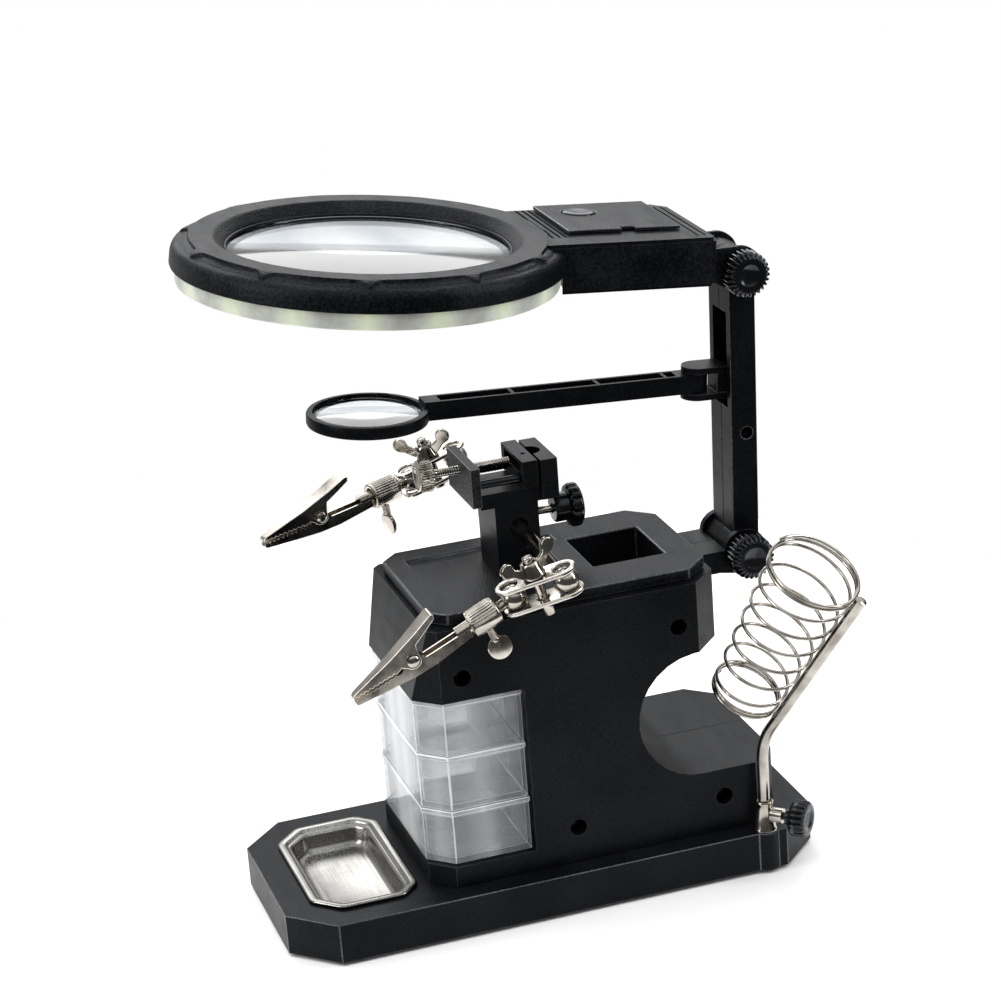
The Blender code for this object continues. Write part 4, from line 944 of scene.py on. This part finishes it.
def grip_scallops(angle, radius, height):
    """Scoop the ring's shoulder between the pointed grip marks."""
    if radius < BULLNOSE_IN or height < RING_TOP - BULLNOSE_DROP:
        return radius, height
    pitch = 2 * math.pi / RING_NOTCHES
    offset = (angle - math.radians(FIRST_NOTCH) + pitch / 2) % pitch - pitch / 2
    away = abs(offset) * 60.0
    middle = abs(offset) / (pitch / 2)
    edge = 57.7 + 3.2 * math.exp(-((away / 2.0) ** 2)) + 0.5 * math.exp(-((away / 6.0) ** 2))
    step = smoothstep((radius - edge) / 0.35)
    fade = 1.0 - smoothstep((radius - 60.8) / 2.4)
    depth = (0.75 + 0.45 * middle) * step * fade
    lean = min(1.0, (radius - BULLNOSE_IN) / BULLNOSE_R)
    return radius - depth * lean, height - depth * math.sqrt(1 - lean * lean)


def ring_profile():
    """Section of the magnifier's ring, from the bowl's rim round the outside."""
    top = RING_TOP
    nose = []
    for k in range(33):
        a = math.radians(90 * k / 32)
        height = top + 0.1 - BULLNOSE_DROP * (1 - math.cos(a))
        nose.append((BULLNOSE_IN + BULLNOSE_R * math.sin(a), height))
    outside = [(63.9, top - 8.6), (63.7, top - 9.2), (63.2, top - 9.4), (51.9, top - 9.4),
               (51.9, top - 4.4)]
    bowl = [(45.4, top - 4.4), (45.4, top - 3.9), (45.6, top - 3.6), (46.2, top - 3.45), (46.4, top - 3.0),
            (47.6, top - 2.0), (49.2, top - 0.7), (49.8, top - 0.25), (50.5, top)]
    return bowl[-1:] + nose + outside + bowl


def make_head():
    """Case with scalloped ring, bowl, deck and ears."""
    ring = lathe(ring_profile(), 720, grip_scallops, Matrix.Translation((RING_X, 0, 0)))
    deck = prism(
        [(BOX_X0, -BOX_HALF_Y), (BOX_X1 - 2, -BOX_HALF_Y), (BOX_X1, -BOX_HALF_Y + 2),
         (BOX_X1, BOX_HALF_Y - 5), (BOX_X1 - 5, BOX_HALF_Y), (BOX_X0, BOX_HALF_Y)],
        BOX_BOTTOM, BOX_TOP,
    )
    soften(deck, 0.5, 1.1, 4)
    steps = [
        (CUT, rod((RING_X, 0, -10), (RING_X, 0, 30), BULLNOSE_IN, 198)),
        (CUT, rod((RING_X, 0, -10), (RING_X, 0, RING_WALL_TOP), RING_WALL_IN, 198)),
        (JOIN, ring),
        (CUT, block(*BATTERY_BAY)),
    ]
    for x, deep in NECK_GROOVES:
        steps.append((CUT, block((x, -15.0, RING_TOP - deep), (x + 0.9, 24.0, RING_TOP + 3))))
    for x in BACK_GROOVES:
        bottom = BOX_TOP - BACK_GROOVE_DEPTH
        steps.append((CUT, block((x, -21.0, bottom), (x + 0.7, 20.0, BOX_TOP + 3))))
    for side in (-1, 1):
        low, high = sorted((side * EAR_IN, side * EAR_OUT))
        outline = arc((0, 0), EAR_R, -100, 100, 48) + [(BOX_X1 - 1, 7.0), (BOX_X1 - 1, -1.0)]
        ear = prism(outline, low, high, "Y")
        soften(ear, 1.2, 0.4, 2)
        steps.append((JOIN, ear))
    steps.append((CUT, rod((0, -20, 0), (0, 20, 0), BOLT_R + 0.3, 32)))
    body = shaped(deck, *steps)
    piece("head_case_moulding", body, HEAD, PEBBLE, "head_case", bevel=0.22, smooth=34)

    refined("battery_cover", PEBBLE, 0.35)
    profile = [(0, 1.75), (3.2, 1.85), (4.6, 1.9), (5.2, 1.7), (5.6, 1.2), (5.6, -3.0), (0, -3.0)]
    turn = Matrix.Translation((*BUTTON, BOX_TOP))
    piece("power_button_cap", lathe(profile, 64, turn=turn), HEAD, SMOOTH_BLACK, "power_button", smooth=50)

    turn = Matrix.Translation((RING_X, 0, RETAINER_Z))
    body = lathe(lens_profile(LENS_R, 2.6, 2.2, 20), 192, turn=turn)
    piece("main_lens_polished", body, HEAD, GLASS, "main_lens", smooth=50)
    top = RETAINER_Z + 1.5
    seat = [(50.9, top), (50.9, 3.9), (50.5, 3.6), (45.5, 3.6), (45.0, 4.1), (45.0, 7.5), (46.9, 7.5),
            (46.9, top), (50.9, top)]
    turn = Matrix.Translation((RING_X, 0, 0))
    piece("lens_retainer_ring", lathe(seat, 160, turn=turn), HEAD, BLACK, "lens_retainer", smooth=50)
    light = [(62.2, 5.4), (62.2, 1.2), (61.9, 0.5), (61.2, 0.1), (60.2, 0.0), (52.9, 0.0), (52.4, 0.4),
             (52.4, 5.4), (62.2, 5.4)]
    place = HEAD @ Matrix.Translation((RING_X * MM, 0, 0))
    piece("light_ring_frosted", lathe(light, 192), place, LIGHT, "led_diffuser", smooth=50)


# ---------------------------------------------------------------- iron rest

def rest_axes():
    """Direction of the sloping rod and the direction that the coil stands off it."""
    azimuth, rise = math.radians(REST_AZIMUTH), math.radians(REST_ELEVATION)
    flat = Vector((math.cos(azimuth), math.sin(azimuth), 0))
    reach = flat * math.cos(rise) + Vector((0, 0, math.sin(rise)))
    return reach, Vector((0, 0, math.cos(rise))) - flat * math.sin(rise)


def coil_points(per_turn=40):
    """Centreline of the conical coil, close wound at both ends."""
    reach, lean = rest_axes()
    side = reach.cross(lean)
    corner = Vector((*BOSS_AT, BEND_Z))
    stand_off = HOLDER_ROD_R + COIL_WIRE_R + COIL_GAP
    low = corner + reach * COIL_FROM + lean * (COIL_R0 + stand_off)
    high = corner + reach * COIL_TO + lean * (COIL_R1 + stand_off)
    across = (high - low).normalized().cross(side)
    first, last = COIL_END_TURNS, COIL_TURNS - COIL_END_TURNS
    open_step = (1 - 2 * first * COIL_END_STEP) / (last - first)
    points = []
    for i in range(COIL_TURNS * per_turn + 1):
        turns = i / per_turn
        at_ends = min(turns, first) + max(0, turns - last)
        share = at_ends * COIL_END_STEP + max(0, min(turns, last) - first) * open_step
        angle = 2 * math.pi * turns
        radial = across * -math.cos(angle) + side * math.sin(angle)
        points.append(low + (high - low) * share + radial * (COIL_R0 + (COIL_R1 - COIL_R0) * share))
    return points


def make_iron_rest():
    """Sleeve on the boss, bent rod, coil and fluted knob."""
    x, y = BOSS_AT
    reach, _ = rest_axes()
    corner, fillet = Vector((x, y, BEND_Z)), 8.0
    points = [Vector((x, y, SLEEVE_LOW + 0.6)), Vector((x, y, 24.0)), Vector((x, y, 34.0))]
    down, up = corner - Vector((0, 0, fillet)), corner + reach * fillet
    for i in range(17):
        t = i / 16
        points.append(down * (1 - t) ** 2 + corner * 2 * t * (1 - t) + up * t * t)
    points += [corner + reach * (ROD_LENGTH * s) for s in (0.2, 0.5, 0.8, 1.0)]
    points[-1] -= reach
    body = tube(points, HOLDER_ROD_R, 28)
    piece("iron_rest_rod", body, WORLD, DULL_NICKEL, "holder_rod", smooth=60)
    body = tube(coil_points(), COIL_WIRE_R, 12)
    piece("iron_rest_coil", body, WORLD, DULL_NICKEL, "holder_coil", smooth=60)

    profile = [(2.3, SLEEVE_TOP - 0.2), (2.5, SLEEVE_TOP), (2.9, SLEEVE_TOP), (3.1, SLEEVE_TOP - 0.3),
               (3.1, SLEEVE_TOP - 0.9), (2.8, SLEEVE_TOP - 1.3), (2.85, SLEEVE_TOP - 2.2),
               (3.9, SLEEVE_LOW + 1.0), (4.2, SLEEVE_LOW + 0.5), (4.3, SLEEVE_LOW), (2.3, SLEEVE_LOW),
               (2.3, SLEEVE_TOP - 0.2)]
    out = direction("iron_knob_spin")
    hub = pivot("iron_knob_spin") / MM
    steps = [
        (JOIN, rod(hub + out * 2.7, hub + out * 6.8, 2.6, 40)),
        (CUT, rod(hub, hub + out * 12, 1.5, 32)),
        (CUT, rod((x, y, SLEEVE_LOW - 1), (x, y, SLEEVE_TOP + 1), 2.3, 48)),
    ]
    body = shaped(lathe(profile, 64, turn=Matrix.Translation((x, y, 0))), *steps)
    piece("iron_rest_sleeve", body, WORLD, NICKEL, "holder_sleeve", smooth=45)

    profile = [(0, 15.8), (2.6, 15.9), (3.0, 16.3), (4.6, 16.4), (5.6, 16.1), (6.2, 15.5), (6.4, 14.8),
               (6.4, 12.6), (6.3, 11.2), (5.7, 10.5), (5.2, 10.2), (2.6, 10.0), (2.6, 8.1), (2.3, 8.0),
               (1.2, 8.0), (1.2, 2.4), (0, 2.4)]
    flutes = waved(20, 0.9, 1.5, 10.4, 16.0)
    body = lathe(profile, 240, lambda a, r, h: flutes(a, r, h) if r > 5.0 else (r, h))
    place = on_joint("iron_knob_spin")
    piece("iron_rest_knob_fluted", body, place, SMOOTH_BLACK, "holder_knob", smooth=50)


# ------------------------------------------------------------------- studio

def make_floor():
    """Pale floor under the pads: one flat sheet, so that no rim shows in low views."""
    floor = as_object(lathe([(0, 0), (FLOOR_R, 0)], 128), "studio_floor")
    floor.location = (0.0, FLOOR_Y, CAD_BOX[0].z)
    pale = Finish("pale_floor", Roughness=0.85, Base_Color=(0.88, 0.88, 0.88, 1.0))
    floor.data.materials.append(pale.material)


def area_light(name, place, size, power):
    """A soft box pointing at the object's middle."""
    lamp = bpy.data.lights.new(name, "AREA")
    lamp.shape = "RECTANGLE"
    lamp.size, lamp.size_y = size
    lamp.energy = power
    made = added(name, lamp)
    made.location = place
    toward = Vector(LIGHTS_AIM) - Vector(place)
    made.rotation_euler = toward.to_track_quat("-Z", "Y").to_euler()


def make_lights():
    """Broad light from above, and soft boxes for the bright metal's highlights."""
    sun = bpy.data.lights.new("overhead", "SUN")
    sun.energy = 2.0
    sun.angle = math.radians(70)
    overhead = added("overhead", sun)
    overhead.rotation_euler = (math.radians(-12), math.radians(-10), 0)
    overhead.visible_glossy = False
    area_light("left_box", (-0.75, -0.15, 0.45), (0.25, 0.6), 2.8)
    area_light("right_box", (0.75, -0.35, 0.50), (0.16, 0.6), 3.2)
    area_light("back_box", (0.15, 0.80, 0.60), (0.8, 0.3), 2.2)


def make_world():
    """White backdrop; what the surfaces mirror is bright above and behind, dark in front."""
    world = bpy.data.worlds.new("studio")
    world.use_nodes = True
    bpy.context.scene.world = world
    made = Nodes(world.node_tree)
    toward = made.node("ShaderNodeTexCoord").outputs["Generated"]
    split = made.node("ShaderNodeSeparateXYZ", Vector=toward).outputs
    glow = [
        made.node(
            "ShaderNodeMapRange", interpolation_type="SMOOTHSTEP", Value=split[axis],
            From_Min=start, From_Max=end, To_Min=DIM_WORLD, To_Max=bright,
        ).outputs[0]
        for axis, start, end, bright in (("Z", 0.25, 0.75, 1.1), ("Y", 0.35, 0.90, 0.60))
    ]
    studio = made.tree.nodes["Background"]
    made.feed(studio.inputs["Color"], WHITE)
    made.feed(studio.inputs["Strength"], made.combined("MAXIMUM", *glow))
    backdrop = made.node("ShaderNodeBackground", Color=WHITE)
    rays = made.node("ShaderNodeLightPath").outputs
    seen = made.combined("MAXIMUM", rays["Is Camera Ray"], rays["Is Transmission Ray"])
    mix = made.node("ShaderNodeMixShader")
    for socket, value in zip(mix.inputs, (seen, studio.outputs[0], backdrop.outputs[0])):
        made.feed(socket, value)
    made.feed(made.tree.nodes["World Output"].inputs["Surface"], mix.outputs[0])


def make_camera():
    """Camera a little above the object, turned towards its tray end."""
    azimuth, elevation, roll = (math.radians(angle) for angle in CAMERA_TURN)
    level = math.cos(elevation)
    back = Vector((math.sin(azimuth) * level, -math.cos(azimuth) * level, math.sin(elevation)))
    right = (-back).cross(Vector((0, 0, 1))).normalized()
    up = back.cross(right)
    tilted_right = right * math.cos(roll) + up * math.sin(roll)
    tilted_up = up * math.cos(roll) - right * math.sin(roll)
    lens = bpy.data.cameras.new("camera")
    lens.sensor_width = CAMERA_SENSOR
    lens.lens = CAMERA_LENS
    camera = added("camera", lens)
    turn = Matrix((tilted_right, tilted_up, back)).transposed().to_4x4()
    camera.matrix_world = Matrix.Translation(CAMERA_AT) @ turn
    bpy.context.scene.camera = camera


make_base()
make_tray()
make_drawers()
make_vise()
make_cross_rod()
make_clamp("front", 36, 1.9, 5.2)
make_clamp("rear", -34, 3.2, 2.2)
make_clip("front", 0)
make_clip("rear", 90)
make_mast()
make_small_lens()
make_head()
make_iron_rest()
make_floor()
make_lights()
make_world()
make_camera()
bpy.context.scene.view_settings.view_transform = "Standard"
